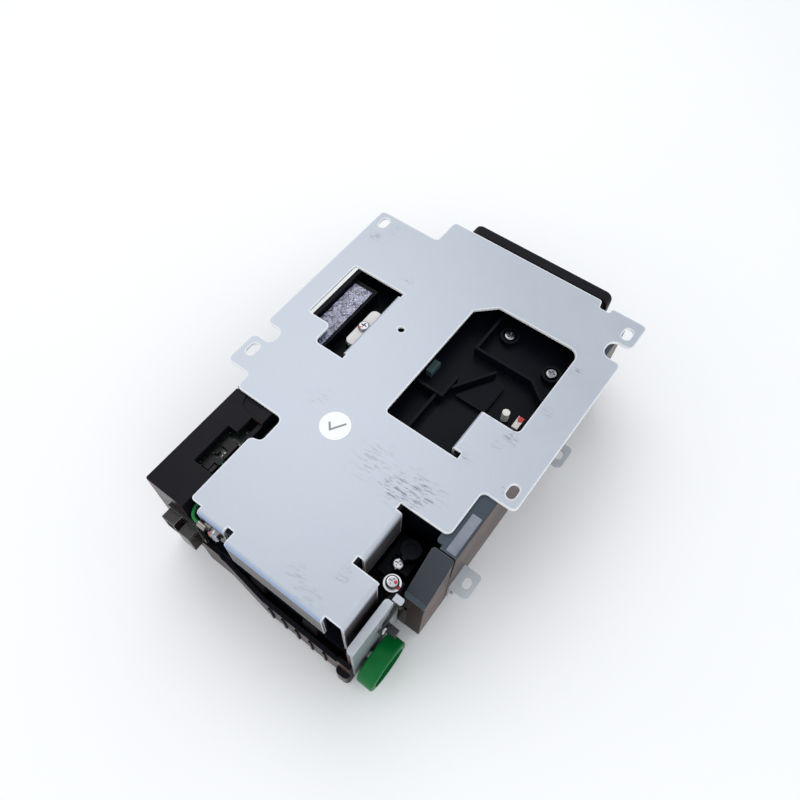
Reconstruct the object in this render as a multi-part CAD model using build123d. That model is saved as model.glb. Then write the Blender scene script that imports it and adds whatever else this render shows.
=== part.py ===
from build123d import *
import math
import os

# Bill validator, hung under a slotted mounting plate. Millimetres, +Z up.
# The origin is the centre of the locating hole, in the mounting plate's top face.
# +Y points to the note mouth at the front, +X to the right-hand side cover.

# ---- overall sizes -------------------------------------------------------------------------
body_depth = 61.5          # from the plate's top face down to the base
body_left = -38.3          # outer face of the casing on the left
body_front = 66.0          # outer face of the casing at the front
body_rear = -125.5         # outer face of the casing at the rear
wall_x = 72.5              # outer face of the casing's right wall, inside the side cover
cover_x = 80.0             # outer face of the side cover
step_y = -92.4             # where the right wall steps in, to leave room for the hand wheel
inner_wall_x = 68.3        # outer face of the right wall behind that step
wall = 2.0
floor_t = 2.4
rear_cut = 3.0             # how far the left half of the rear wall lies in front of the right half
corner_x = -17.0           # the casing's front left corner is cut back to this x
corner_cut = 14.0          # and by this much along Y

# ---- note path -----------------------------------------------------------------------------
note_width = 68.0
path_x = 27.7              # middle of the path
guide_gap = 2.4
guide_t = 1.6
rail_w = 2.0
mouth_h = 5.5

# ---- drive ---------------------------------------------------------------------------------
shaft_r = 2.5
drive_r = 8.5
drive_w = 8.0
drive_lift = 13.3          # drive shafts' axis above the base
roller_offset = 15.0       # rollers either side of the path's middle
press_r = 5.0
press_shaft_r = 2.0
nip_gap = 0.3              # between a drive roller and its pressure roller, where the note passes
front_shaft_back = 42.0    # front drive shaft behind the casing's front face
middle_y = -35.0
rear_shaft_in = 12.2       # rear drive shaft in front of the casing's rear face
running = 0.05             # radial clearance of a turning shaft
side_play = 0.4            # between a turning part's face and the wall beside it
spring_w = 1.5
bush_r = 4.0
bush_flange_r = 5.2
bush_flange_t = 0.8
pulley_r = 5.0
pulley_rim = 1.2
belt_t = 1.2
belt_w = 2.6
belt_clear = 0.3
gear_w = 3.0
module_size = 1.0
gear_teeth = 18
pinion_teeth = 10
motor_r = 12.0
motor_len = 14.6
motor_turn = 37.0          # degrees that the motor's axis stands above the middle shaft, to the rear

# ---- mounting plate ------------------------------------------------------------------------
plate_t = 1.2
locating_r = 1.6
slot_r = 2.1
slot_len = 7.0
slot_pitch = 96.5          # along Y, on both sides
left_slot_x = -46.0
left_slot_y = -0.25        # middle of the left-hand pair
right_slot_x = 82.2
right_slot_y = 10.95       # middle of the right-hand pair
plate_front_over = 3.5     # plate's front edge in front of the casing
rear_flange_depth = 20.0
bend_r = 1.6
window_tab = 8.0

# ---- frame under the plate -----------------------------------------------------------------
deck_depth = 12.0          # deck's top face below the plate's top face
deck_t = 2.0
rib_h = 6.0
rib_t = 1.2
frame_step_y = -66.5
tail_inside = -11.0        # inner face of the frame's narrow rear part, on the left
tail_right = 51.2
tail_rear = -118.0

# ---- bezel ---------------------------------------------------------------------------------
bezel_half = 38.5
bezel_top = -4.0
bezel_drop = 53.0
bezel_neck = 8.0
bezel_t = 6.3

# ---- hand wheel and its bracket ------------------------------------------------------------
wheel_r = 12.0
wheel_w = 8.2
wheel_gap = 1.5            # between the bracket's web and the wheel
bracket_t = 1.2
bracket_depth = 12.0       # top of the bracket below the plate's top face
washer_x = 64.6            # screw and washer on the boss beside the bracket
washer_y = -92.6
guard_out = 2.5            # how far the corner guard stands out behind the casing
lever_len = 12.5
lever_slope = 36.0         # degrees that the lever rises towards the front

# ---- side brackets -------------------------------------------------------------------------
tab_t = 1.0
tab_reach = 9.4
tab_len = 13.0
tab_pitch = 79.0
tab_middle_y = -25.7
tab_lift = 17.5            # above the base
tab_slot_r = 1.8
tab_slot_len = 5.4

# ---- connectors on the left housing's rear -------------------------------------------------
header_left = -27.2
header_right = -20.4
header_top = -13.5
header_drop = 10.0
header_out = 5.0
plug_right = -12.4
plug_top = -17.0
plug_drop = 12.5
connector_board_t = 1.4

# ---- entry shutter -------------------------------------------------------------------------
shutter_back = 23.0        # shutter's axis behind the casing's front face
shutter_drop = 5.95        # shutter's axis below the middle of the path
shutter_shaft_r = 1.5
shutter_t = 1.0
crank_len = 5.0
crank_pin_r = 1.0
shutter_turn = 75.0

# ---- heights and places that follow --------------------------------------------------------
base_z = -body_depth
floor_z = base_z + floor_t
drive_z = base_z + drive_lift
path_z = drive_z + drive_r + nip_gap / 2
press_z = path_z + nip_gap / 2 + press_r
low_top = path_z - guide_gap / 2
low_bottom = low_top - guide_t
high_bottom = path_z + guide_gap / 2
split_z = high_bottom + guide_t
deck_z = -deck_depth
path_left = path_x - note_width / 2
path_right = path_x + note_width / 2
cheek_x = path_left - 2 * rail_w
tail_left = tail_inside - wall
front_in = body_front - wall
rear_in = body_rear + wall + rear_cut
front_y = body_front - front_shaft_back
rear_y = body_rear + rear_shaft_in
roller_xs = (path_x - roller_offset, path_x + roller_offset)
drive_ys = (front_y, middle_y, rear_y)
plate_front = body_front + plate_front_over


# ---- shapes used throughout ----------------------------------------------------------------
def block(x0, x1, y0, y1, z0, z1):
    """A box between two corners."""
    return Pos((x0 + x1) / 2, (y0 + y1) / 2, (z0 + z1) / 2) * Box(x1 - x0, y1 - y0, z1 - z0)


def rod_x(r, x0, x1, y, z):
    """A round bar along X."""
    return Pos((x0 + x1) / 2, y, z) * Rot(0, 90, 0) * Cylinder(r, x1 - x0)


def rod_y(r, y0, y1, x, z):
    """A round bar along Y."""
    return Pos(x, (y0 + y1) / 2, z) * Rot(90, 0, 0) * Cylinder(r, y1 - y0)


def rod_z(r, z0, z1, x, y):
    """A round bar along Z."""
    return Pos(x, y, (z0 + z1) / 2) * Cylinder(r, z1 - z0)


def rounded(points, z0, z1):
    """A flat slab whose outline is a list of corners (x, y, corner radius)."""
    face = make_face(Polyline([(x, y) for x, y, _ in points], close=True))
    for radius in sorted({r for _, _, r in points if r > 0}):
        wanted = [(x, y) for x, y, r in points if r == radius]
        corners = [v for v in face.vertices() if any(math.dist((v.X, v.Y), w) < 1e-6 for w in wanted)]
        face = fillet(corners, radius)
    return Pos(0, 0, z0) * extrude(face, z1 - z0)


def slab_x(points, x0, x1):
    """A slab across X whose outline is a list of corners (y, z)."""
    face = Plane.YZ * make_face(Polyline(points, close=True))
    return Pos(x0, 0, 0) * extrude(face, x1 - x0)


def slot_z(x, y, r, length, z0, z1):
    """A slot along Y, round at both ends, end to end length."""
    half = length / 2 - r
    cut = block(x - r, x + r, y - half, y + half, z0, z1)
    return cut + rod_z(r, z0, z1, x, y - half) + rod_z(r, z0, z1, x, y + half)


def screw(head_r, head_h, shank_r, length):
    """A pan-head cross screw: head above Z 0, shank below."""
    head = fillet(Cylinder(head_r, head_h).edges().group_by(Axis.Z)[-1], head_h * 0.45)
    head = Pos(0, 0, head_h / 2) * head
    arm = head_r * 1.1
    recess = Box(arm, arm * 0.25, head_h) + Box(arm * 0.25, arm, head_h)
    return head - Pos(0, 0, head_h) * recess + Pos(0, 0, -length / 2) * Cylinder(shank_r, length)


def save(name, *shapes):
    """Write one node. Several shapes stay separate solids."""
    solids = [solid for shape in shapes for solid in shape.solids()]
    export_step(solids[0] if len(solids) == 1 else Compound(children=solids), f"parts/{name}.step")


# ---- mounting plate ------------------------------------------------------------------------
small_window = (
    (-40.0, 17.5, 1.5), (-11.2, 17.5, 0), (-11.2, 14.8, 0), (-13.0, 14.8, 0), (-13.0, -25.2, 0),
    (-11.2, -25.2, 0), (-11.2, -28.4, 0), (-27.0, -28.4, 2.5), (-27.0, -17.2, 2.5), (-40.0, -17.2, 1.5),
)
big_window = (
    (20.0, 29.0, 1.5), (28.6, 37.5, 1.5), (70.2, 37.5, 5.0), (70.2, -13.8, 2.5), (52.0, -13.8, 0.8),
    (52.0, -35.2, 0), (56.6, -35.2, 0), (56.6, -38.5, 0), (20.0, -38.5, 2.2),
)
tail_flanges = {                # x0, x1, y0, y1 and depth of each folded flange
    "side_front": (51.8, 53.0, -94.9, -71.0, rear_flange_depth),
    "side_rear": (61.6, 62.8, -119.8, -99.5, -split_z - 1.0),
    "rear_wide": (6.5, 54.5, -122.3, -121.1, rear_flange_depth),
    "rear_narrow": (-11.0, 3.0, tail_rear - plate_t, tail_rear, rear_flange_depth),
}


def plate_outline():
    """Corners of the flat blank, clockwise from the front left, with their radii."""
    front = plate_front
    left_ear = left_slot_x - 5.3
    right_ear = right_slot_x + 5.4
    narrow = tail_flanges["rear_narrow"][2]
    wide = tail_flanges["rear_wide"][2]
    return (
        (-18.0, front, 2), (64.0, front, 1.5), (65.0, front - 4.5, 1), (70.0, front - 4.5, 1),
        (70.0, front - 1.5, 1.2), (right_ear, front - 1.5, 2.5), (right_ear, 52.5, 2.5),
        (78.0, 52.5, 3.9), (78.0, 42.5, 3.9), (right_ear, 42.5, 2.5), (right_ear, -44.3, 2.8),
        (72.8, -44.3, 2.5), (72.8, -67.7, 3), (50.0, -67.7, 0), (50.0, -71.0, 0), (53.0, -71.0, 0),
        (53.0, -94.9, 0), (50.0, -94.9, 0), (50.0, -98.3, 0), (62.8, -98.3, 0), (62.8, -119.8, 0),
        (54.5, -119.8, 0), (54.5, wide, 0), (6.5, wide, 0), (6.5, -116.3, 0), (3.0, -116.3, 0),
        (3.0, narrow, 0), (-11.0, narrow, 0), (-11.0, -116.3, 0), (-16.8, -116.3, 1.5),
        (-16.8, -82.0, 2.4), (-11.8, -80.5, 2.4), (-11.8, -67.3, 3.4), (body_left, -67.3, 2.5),
        (body_left, -59.2, 2), (left_ear, -59.2, 2.6), (left_ear, -41.6, 2.6), (-41.6, -41.6, 3.4),
        (-41.6, -33.2, 3.4), (left_ear, -33.2, 2.6), (left_ear, 54.3, 2.2), (-18.0, 54.3, 2),
    )


def mounting_plate():
    """Folded sheet-steel plate with four slotted ears, two windows and flanges at the rear."""
    plate = rounded(plate_outline(), -plate_t, 0)
    plate -= rounded(small_window, -plate_t, 0)
    plate -= rounded(big_window, -plate_t, 0)
    plate -= rod_z(locating_r, -plate_t, 0, 0, 0)
    for x, y in ((left_slot_x, left_slot_y), (right_slot_x, right_slot_y)):
        for side in (-1, 1):
            plate -= slot_z(x, y + side * slot_pitch / 2, slot_r, slot_len, -plate_t, 0)
    for x0, x1, y0, y1, depth in tail_flanges.values():
        plate += block(x0, x1, y0, y1, -depth, 0)
    plate += block(-13.0, -13.0 + plate_t, -25.2, 14.8, -window_tab, 0)
    plate += block(52.0, 52.0 + plate_t, -35.2, -13.8, -window_tab, 0)
    bends = [
        ("x", -13.0, -25.2, 14.8), ("x", 52.0, -35.2, -14.6), ("x", 53.0, -94.9, -71.0),
        ("x", 62.8, -119.8, -99.5), ("y", tail_flanges["rear_wide"][2], 6.5, 54.5),
        ("y", tail_flanges["rear_narrow"][2], -11.0, 3.0),
    ]
    for way, place, low, high in bends:
        edges = []
        for edge in plate.edges():
            a = edge.position_at(0)
            b = edge.position_at(1)
            if abs(a.Z) > 1e-6 or abs(b.Z) > 1e-6:
                continue
            across = (a.X, b.X) if way == "x" else (a.Y, b.Y)
            along = (a.Y, b.Y) if way == "x" else (a.X, b.X)
            if max(abs(v - place) for v in across) < 1e-6 and min(along) > low - 2 and max(along) < high + 2:
                edges.append(edge)
        plate = fillet(edges, bend_r)
    hole = earth_place()
    plate -= rod_y(1.55, hole[1] - plate_t, hole[1] + plate_t, hole[0], hole[2])
    return plate


# ---- casing --------------------------------------------------------------------------------
def casing_outline(inset):
    """Outline of the base, moved inwards by inset."""
    left = body_left + inset
    right = wall_x - inset
    inner = inner_wall_x - inset
    rear = body_rear + inset
    front = body_front - inset
    return (
        (left, front - corner_cut, 0), (corner_x + inset, front - corner_cut, 0),
        (corner_x + inset, front, 0), (right, front, 0), (right, step_y + inset, 0),
        (inner, step_y + inset, 0), (inner, rear, 0), (20.0, rear, 0), (-4.0, rear + rear_cut, 0),
        (-18.0 + inset, rear + rear_cut, 0), (-18.0 + inset, rear + rear_cut + 1.6, 0),
        (left, rear + rear_cut + 1.6, 0),
    )


def bush_places():
    """Where a drive shaft passes a wall: x of the wall's outer face, y, and the way it faces."""
    places = [(cheek_x, y, -1) for y in drive_ys]
    places += [(wall_x, front_y, 1), (wall_x, middle_y, 1), (inner_wall_x, rear_y, 1)]
    return places


def shaft_hole(x, y, side, r, z):
    """A hole through a wall whose outer face is at x and faces side."""
    return rod_x(r, min(x, x - side * wall) - 0.1, max(x, x - side * wall) + 0.1, y, z)


def lower_chassis():
    """Moulded base: floor, outer walls, an inner cheek and the tall wall beside the hand wheel."""
    base = rounded(casing_outline(0), base_z, split_z)
    base -= rounded(casing_outline(wall), floor_z, split_z)
    base += block(cheek_x, cheek_x + wall, rear_in, front_in, floor_z, low_bottom)
    tall_top = -bracket_depth - bracket_t
    base += block(inner_wall_x - wall, inner_wall_x, body_rear + wall, step_y + 3, split_z, tall_top)
    base += rod_z(3.2, split_z + 2, -bracket_depth, washer_x, washer_y)
    base += corner_guard()
    base += rear_ribs()
    slot = (path_left, path_right, low_top - 1.3, split_z)
    base -= block(slot[0], slot[1], front_in, body_front, slot[2], slot[3])
    base -= block(slot[0], slot[1], body_rear, rear_in + wall, slot[2], slot[3])
    for x, y, side in bush_places():
        base -= shaft_hole(x, y, side, bush_r, drive_z)
    for x, side in ((cheek_x, -1), (wall_x, 1)):
        base -= shaft_hole(x, shutter_y, side, shutter_shaft_r + running, shutter_z)
    base -= rod_z(1.3, -bracket_depth - 9.2, -bracket_depth, washer_x, washer_y)
    for x in (-30.0, 60.0):
        for y in (body_front - 10, middle_y - 25, rear_y + 14):
            base -= rod_z(3.0, base_z, base_z + 0.8, x, y)
    return base


def corner_guard():
    """Rounded guard at the rear corner, in front of the hand wheel's rim."""
    rear = body_rear - guard_out
    left = inner_wall_x - 6.8
    corners = ((left, body_rear, 0), (left, rear, 2.2), (inner_wall_x, rear, 2.2),
               (inner_wall_x, body_rear, 0))
    return rounded(corners, base_z, base_z + 12.0)


def rear_ribs():
    """Low stiffening ribs on the outer face of the rear wall, under the note exit."""
    ribs = [block(x, x + 1.2, body_rear - 0.8, body_rear, base_z + 3, low_top - 2.5)
            for x in (24.0, 31.5, 39.0, 46.5, 54.0)]
    return Compound(children=ribs)


def frame_walls(inset, z0, z1):
    """The frame's plan, a wide front part and a narrow rear part, moved inwards by inset."""
    ahead = body_front - inset
    front = block(corner_x + inset, wall_x - inset, frame_step_y + inset, ahead, z0, z1)
    front += block(body_left + inset, wall_x - inset, frame_step_y + inset, ahead - corner_cut, z0, z1)
    tail = block(tail_left + inset, tail_right - inset, tail_rear + inset, frame_step_y + inset, z0, z1)
    return front + tail


def deck_ribs():
    """Ribs on the deck, under the plate's large window."""
    top = deck_z + rib_h
    ribs = block(30.1, 30.1 + rib_t, 16.4, 44.0, deck_z, top)
    ribs += block(30.1, 60.0, 15.8, 15.8 + rib_t, deck_z, top)
    ribs += slab_between((60.0, 16.4), (68.5, 9.8), deck_z, top)
    ribs += slab_between((44.8, 11.2), (32.6, -8.6), deck_z, top - 1)
    ribs += block(29.2, 29.2 + rib_t, -38.0, -14.5, deck_z, top - 1)
    ribs += block(32.0, 32.0 + rib_t, -14.5, -2.0, deck_z, top)
    ribs += block(18.0, 33.2, -14.5, -14.5 + rib_t, deck_z, top)
    pocket = ((36.0, -8.4, 0.5), (46.5, 9.0, 1), (51.5, 9.0, 2), (51.5, -8.4, 2))
    ribs += rounded(pocket, deck_z, deck_z + 2.2)
    ribs += rounded(((33.5, -38, 1), (33.5, -12, 1), (50.0, -12, 1), (50.0, -38, 1)), deck_z, deck_z + 1.2)
    return ribs


def slab_between(a, b, z0, z1):
    """A straight rib from point a to point b."""
    length = math.dist(a, b)
    turn = math.degrees(math.atan2(b[1] - a[1], b[0] - a[0]))
    place = Pos((a[0] + b[0]) / 2, (a[1] + b[1]) / 2, (z0 + z1) / 2) * Rot(0, 0, turn)
    return place * Box(length, rib_t, z1 - z0)


frame_screw_places = ((38.4, 33.5), (64.6, 26.6))
board_posts = ((-5.0, -74.0), (44.0, -74.0), (-5.0, -110.0), (44.0, -110.0))
clamp_place = (-16.6, -6.2)


def upper_frame():
    """Moulded frame between the plate and the note path: walls, deck, ribs, bosses and two cheeks."""
    frame = frame_walls(0, split_z, -plate_t) - frame_walls(wall, split_z, -plate_t)
    frame += frame_walls(wall, deck_z - deck_t, deck_z)
    for x in (cheek_x, tail_right - wall):
        frame += block(x, x + wall, tail_rear + wall, front_in, split_z, deck_z - deck_t)
    roller_clear = press_z + press_r + 1.5
    frame -= block(cheek_x + wall, tail_right - wall, tail_rear, tail_rear + wall, split_z, roller_clear)
    frame += deck_ribs()
    for x, y in frame_screw_places:
        frame += rod_z(4.4, deck_z, deck_z + 3, x, y) - rod_z(3.4, deck_z + 2, deck_z + 3, x, y)
    for x, y in board_posts:
        frame += rod_z(2.5, deck_z, deck_z + 2.4, x, y)
    pad_right = small_window[0][0] + 16
    frame += block(body_left + wall, pad_right, -62.0, 14.0, deck_z, -4.6)
    frame += rounded(clamp_outline(0.6), deck_z, -7.0)
    for x, y in frame_screw_places:
        frame -= rod_z(1.5, deck_z - deck_t, deck_z + 3, x, y)
    frame -= rod_z(1.5, deck_z - deck_t, -7.0, *clamp_place)
    for y in drive_ys:
        frame -= shaft_hole(cheek_x, y, -1, press_shaft_r + running, press_z)
        frame -= shaft_hole(tail_right, y, 1, press_shaft_r + running, press_z)
    hole = earth_place()
    frame -= rod_y(1.5, tail_rear, tail_rear + wall, hole[0], hole[2])
    return frame


def left_housing():
    """Black box at the rear left, with a shelf for its board and an open recess in the top."""
    top = -1.5
    x1 = -17.8
    y0 = body_rear + rear_cut + 1.6
    y1 = frame_step_y - 0.6
    shell = block(body_left, x1, y0, y1, split_z, top)
    shell -= block(body_left + wall, x1 - wall, y0 + wall, y1 - wall, split_z, top - wall)
    shell += block(body_left + wall, x1 - wall, y0 + wall, y1 - wall, top - 9.5, top - 7.5)
    shell -= block(-28.5, x1, -103.5, -83.0, top - wall, top)
    shell -= block(x1 - wall, x1, -103.5, -83.0, top - 5.5, top)
    shell -= block(-23.4, x1, -83.2, -74.0, top - wall, top)
    shell -= rod_z(7.0, top - 0.8, top, -25.6, y1) & block(-32.6, -22.4, -74.0, y1, top - 0.8, top)
    edges = shell.edges().filter_by(Axis.Z).filter_by(lambda e: abs(e.center().X - body_left) < 0.01)
    return chamfer(edges, 0.6)


def right_cover():
    """Side cover over the belt drive, open towards the casing."""
    y0 = -73.4
    y1 = body_front - 1.5
    z0 = base_z + 1.5
    cover = block(wall_x, cover_x, y0, y1, z0, -1.5)
    cover -= block(wall_x, cover_x - wall, y0, y1 - wall, z0 + wall, -1.5 - wall)
    edges = cover.edges().filter_by(Axis.Y).filter_by(lambda e: abs(e.center().X - cover_x) < 0.01)
    cover = fillet(edges, 0.8)
    cover += rounded(((69.6, y0 + 1.8, 1.5), (wall_x + 1, y0 + 1.8, 0), (wall_x + 1, frame_step_y - 0.3, 0),
                      (69.6, frame_step_y - 0.3, 0)), -1.5 - wall, -1.5)
    for x, y, z in bracket_screw_places():
        cover -= rod_x(1.5, cover_x - wall, cover_x, y, z)
    return cover


def drive_cover():
    """Cap behind the side cover, with a top that slopes down to the rear."""
    y1 = -74.0
    y0 = step_y - 0.1
    top = -1.5
    low = base_z + 1.5
    slope = ((y1, top), (y1 - 16.5, top - 15.5), (y0, top - 16.0), (y0, top - 30.0), (y1, top - 30.0))
    cap = slab_x(slope, wall_x - 2.6, cover_x)
    cap = fillet(cap.edges().filter_by(Axis.Z), 1.4)
    cap += block(wall_x, cover_x, y0, y1, low, top - 20)
    cap -= block(wall_x, cover_x - wall, y0 + wall, y1, low + wall, top - 20)
    cap -= slab_x(((y1, top - 20), (y1, top - 4), (y1 - 12, top - 15), (y1 - 12, top - 20)),
                  wall_x, cover_x - wall)
    return cap


def bezel():
    """Front bezel with a funnel-shaped note mouth, joined to the casing by a neck."""
    back = body_front + bezel_neck
    front = back + bezel_t
    low = bezel_top - bezel_drop
    face = block(path_x - bezel_half, path_x + bezel_half, back, front, low, bezel_top)
    face = fillet(face.edges().filter_by(Axis.Y), 4.0)
    face = fillet(face.edges().group_by(Axis.Y)[-1], 1.4)
    neck = block(path_left - 2.8, path_right + 2.8, body_front, back, low + 2, bezel_top - 2)
    whole = face + neck
    half = mouth_h / 2
    whole -= block(path_left - 0.5, path_right + 0.5, body_front, front, path_z - half, path_z + half)
    funnel = ((front, path_z + half + 4.5), (front - 4.2, path_z + half), (front - 4.2, path_z - half),
              (front, path_z - half - 4.5))
    whole -= slab_x(funnel, path_left - 0.5, path_right + 0.5)
    return whole


# ---- note guides ---------------------------------------------------------------------------
def guide_plan(z0, z1):
    """Plan of both note guides, inside the casing's walls."""
    wide = block(cheek_x, wall_x - wall, step_y + wall, front_in, z0, z1)
    return wide + block(cheek_x, inner_wall_x - wall, rear_in, step_y + wall, z0, z1)


def roller_windows(r, axis_z, far_z, z0, z1):
    """Cuts in a guide where rollers of radius r reach through it."""
    half = math.sqrt(r * r - (far_z - axis_z) ** 2) + 1.0
    cuts = [block(x - drive_w / 2 - 1, x + drive_w / 2 + 1, y - half, y + half, z0, z1)
            for x in roller_xs for y in drive_ys]
    return Compound(children=cuts)


sensor_y = (4.0, 12.0)


def sensor_window(margin, z0, z1):
    """The slit through which a sensor bar looks at the note."""
    return block(path_left + 4 - margin, path_right - 4 + margin, sensor_y[0] - margin,
                 sensor_y[1] + margin, z0, z1)


def lower_note_guide():
    """Bed of the note path, with side rails, roller windows and the shutter's opening."""
    guide = guide_plan(low_bottom, low_top)
    for x in (path_left - rail_w, path_right):
        guide += block(x, x + rail_w, rear_in, front_in, low_top, high_bottom)
    guide -= roller_windows(drive_r, drive_z, low_bottom, low_bottom, low_top)
    guide -= sensor_window(0.2, low_bottom, low_top)
    back = shutter_y - shutter_z_reach() - 0.6
    guide -= block(path_left + 1.8, path_right - 1.8, back, shutter_y + 1.2, low_bottom, low_top)
    return guide


def upper_note_guide():
    """Roof of the note path."""
    guide = guide_plan(high_bottom, split_z)
    guide -= roller_windows(press_r, press_z, split_z, high_bottom, split_z)
    guide -= sensor_window(0.2, high_bottom, split_z)
    guide -= block(path_left + 1.8, path_right - 1.8, shutter_y - 4, shutter_y + 1.2, high_bottom, split_z)
    return guide


def sensor_bar(side):
    """Image-sensor bar above or below the path; its lens fills the slit in the guide."""
    if side > 0:
        seat, far, lens = split_z, split_z + 9.0, high_bottom + 0.1
    else:
        seat, far, lens = low_bottom, low_bottom - 8.0, low_top - 0.1
    low, high = sorted((seat, far))
    bar = block(path_left + 1, path_right - 14, sensor_y[0] - 3, sensor_y[1] + 3, low, high)
    low, high = sorted((seat, lens))
    return bar + (sensor_window(0, low, high) & block(path_left, path_right - 15, *sensor_y, low, high))


# ---- shafts, rollers, pulleys and gears ----------------------------------------------------
pulley_w = belt_w + 2 * belt_clear + 2 * 0.6
left_pulley_x = cheek_x - side_play - pulley_w
gear_x = left_pulley_x - 0.5 - gear_w
shaft_left = gear_x - 0.3
right_pulley_x = wall_x + side_play
wheel_x = inner_wall_x + bracket_t + wheel_gap
motor_plate_x = gear_x - 0.8 - bracket_t
centre_distance = module_size * (gear_teeth + pinion_teeth) / 2
motor_y = middle_y - centre_distance * math.cos(math.radians(motor_turn))
motor_z = drive_z + centre_distance * math.sin(math.radians(motor_turn))


def drive_shaft(y):
    """A drive shaft, long enough for its pulleys or the hand wheel."""
    right = wheel_x + wheel_w - 2.4 if y == rear_y else right_pulley_x + pulley_w
    left = cheek_x - 2 if y == front_y else shaft_left
    return rod_x(shaft_r, left, right, y, drive_z)


def tyre(x, y, z, r, bore):
    """A roller with rounded edges on a shaft."""
    wheel = rod_x(r, x - drive_w / 2, x + drive_w / 2, y, z)
    wheel = fillet(wheel.edges().filter_by(GeomType.CIRCLE), 0.5)
    return wheel - rod_x(bore, x - drive_w / 2, x + drive_w / 2, y, z)


def pulley(x, y):
    """A flanged belt pulley with its left face at x."""
    disc = rod_x(pulley_r, x, x + pulley_w, y, drive_z)
    for place in (x, x + pulley_w - 0.6):
        disc += rod_x(pulley_r + pulley_rim, place, place + 0.6, y, drive_z)
    return disc - rod_x(shaft_r, x, x + pulley_w, y, drive_z)


def belt(x, ya, yb):
    """A belt round two equal pulleys, running with a small clearance."""
    start = x + 0.6 + belt_clear

    def stadium(r):
        loop = rod_x(r, start, start + belt_w, ya, drive_z) + rod_x(r, start, start + belt_w, yb, drive_z)
        return loop + block(start, start + belt_w, min(ya, yb), max(ya, yb), drive_z - r, drive_z + r)

    return stadium(pulley_r + belt_clear + belt_t) - stadium(pulley_r + belt_clear)


def toothed_wheel(teeth, width, bore, phase):
    """A spur gear along Z with straight-sided teeth; phase turns it, in tooth pitches."""
    pitch_r = module_size * teeth / 2
    root_r = pitch_r - 1.15 * module_size
    tip_r = pitch_r + 0.8 * module_size
    tooth = Polyline([(root_r - 0.3, -0.85 * module_size), (tip_r, -0.3 * module_size),
                      (tip_r, 0.3 * module_size), (root_r - 0.3, 0.85 * module_size)], close=True)
    tooth = extrude(make_face(tooth), width)
    wheel = Pos(0, 0, width / 2) * Cylinder(root_r, width)
    for i in range(teeth):
        wheel += Rot(0, 0, (i + phase) * 360 / teeth) * tooth
    return wheel - Pos(0, 0, width / 2) * Cylinder(bore, width)


def drive_gear():
    """Gear on the middle shaft's left end, with one tooth on the line to the motor."""
    turn = Pos(gear_x, middle_y, drive_z) * Rot(0, 90, 0)
    aim = 180 - math.degrees(math.atan2(motor_y - middle_y, motor_z - drive_z))
    return turn * Rot(0, 0, aim) * toothed_wheel(gear_teeth, gear_w, shaft_r, 0)


def motor_pinion():
    """Pinion on the motor's shaft, with a gap on the line to the drive gear."""
    turn = Pos(gear_x, motor_y, motor_z) * Rot(0, 90, 0)
    aim = -math.degrees(math.atan2(motor_y - middle_y, motor_z - drive_z))
    return turn * Rot(0, 0, aim) * toothed_wheel(pinion_teeth, gear_w, 1.0, 0.5)


def bushes():
    """A bush in the wall at each end of every drive shaft, with its flange on the inner face."""
    rings = []
    for x, y, side in bush_places():
        inner = x - side * wall
        end = inner - side * bush_flange_t
        ring = rod_x(bush_r, min(x, inner), max(x, inner), y, drive_z)
        ring += rod_x(bush_flange_r, min(inner, end), max(inner, end), y, drive_z)
        rings.append(ring - rod_x(shaft_r + running, min(x, end), max(x, end), y, drive_z))
    return rings


def press_shaft(y):
    """A pressure shaft between the frame's two cheeks."""
    return rod_x(press_shaft_r, cheek_x - side_play, tail_right + side_play, y, press_z)


def leaf_springs():
    """Leaf springs that load the pressure shafts, fixed under the deck beside each cheek."""
    leaves = []
    top = deck_z - deck_t
    rest = press_z + press_shaft_r + 0.3
    for y in drive_ys:
        for x in (cheek_x + wall + 0.2, tail_right - wall - 0.2 - spring_w):
            line = ((y + 9, top), (y + 5, top), (y + 1.5, rest + 0.6), (y - 1.5, rest + 0.6),
                    (y - 1.5, rest), (y + 2.0, rest), (y + 5.4, top - 0.6), (y + 9, top - 0.6))
            leaves.append(slab_x(line, x, x + spring_w))
    return leaves


def motor():
    """Can motor with a shaft through the motor plate."""
    x0 = motor_plate_x - motor_len
    can = rod_x(motor_r, x0, motor_plate_x, motor_y, motor_z)
    can = fillet(can.edges().group_by(Axis.X)[0], 1.5)
    boss = rod_x(4.0, motor_plate_x, motor_plate_x + bracket_t, motor_y, motor_z)
    return can + boss


def motor_plate():
    """Upright steel plate that carries the motor, from the floor to the deck."""
    sheet = block(motor_plate_x, motor_plate_x + bracket_t, motor_y - motor_r - 3, middle_y - 4,
                  floor_z, deck_z - deck_t)
    sheet -= rod_x(4.0, motor_plate_x, motor_plate_x + bracket_t, motor_y, motor_z)
    return sheet


# ---- entry shutter and its solenoid --------------------------------------------------------
shutter_y = body_front - shutter_back
shutter_z = path_z - shutter_drop
blade_len = high_bottom + 0.45 - shutter_z
crank_x = gear_x + 1.5
crank_travel = crank_len * math.sin(math.radians(shutter_turn))
solenoid_x = crank_x - 4.5


def shutter_z_reach():
    """How far the blade sweeps back through the lower guide."""
    return math.sqrt(blade_len ** 2 - (low_bottom - shutter_z) ** 2) + shutter_t


def entry_shutter():
    """Pivoting shutter: shaft, blade across the path, and a crank at the left end."""
    shaft = rod_x(shutter_shaft_r, crank_x - 2, wall_x - 0.4, shutter_y, shutter_z)
    blade = block(path_left + 3, path_right - 3, shutter_y - shutter_t / 2, shutter_y + shutter_t / 2,
                  shutter_z, shutter_z + blade_len)
    arm = block(crank_x - 2, crank_x, shutter_y - 1.5, shutter_y + 1.5, shutter_z, shutter_z + crank_len)
    arm += rod_x(1.5, crank_x - 2, crank_x, shutter_y, shutter_z + crank_len)
    pin = rod_x(crank_pin_r, crank_x - 5.2, crank_x, shutter_y, shutter_z + crank_len)
    return shaft + blade + arm + pin


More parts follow.
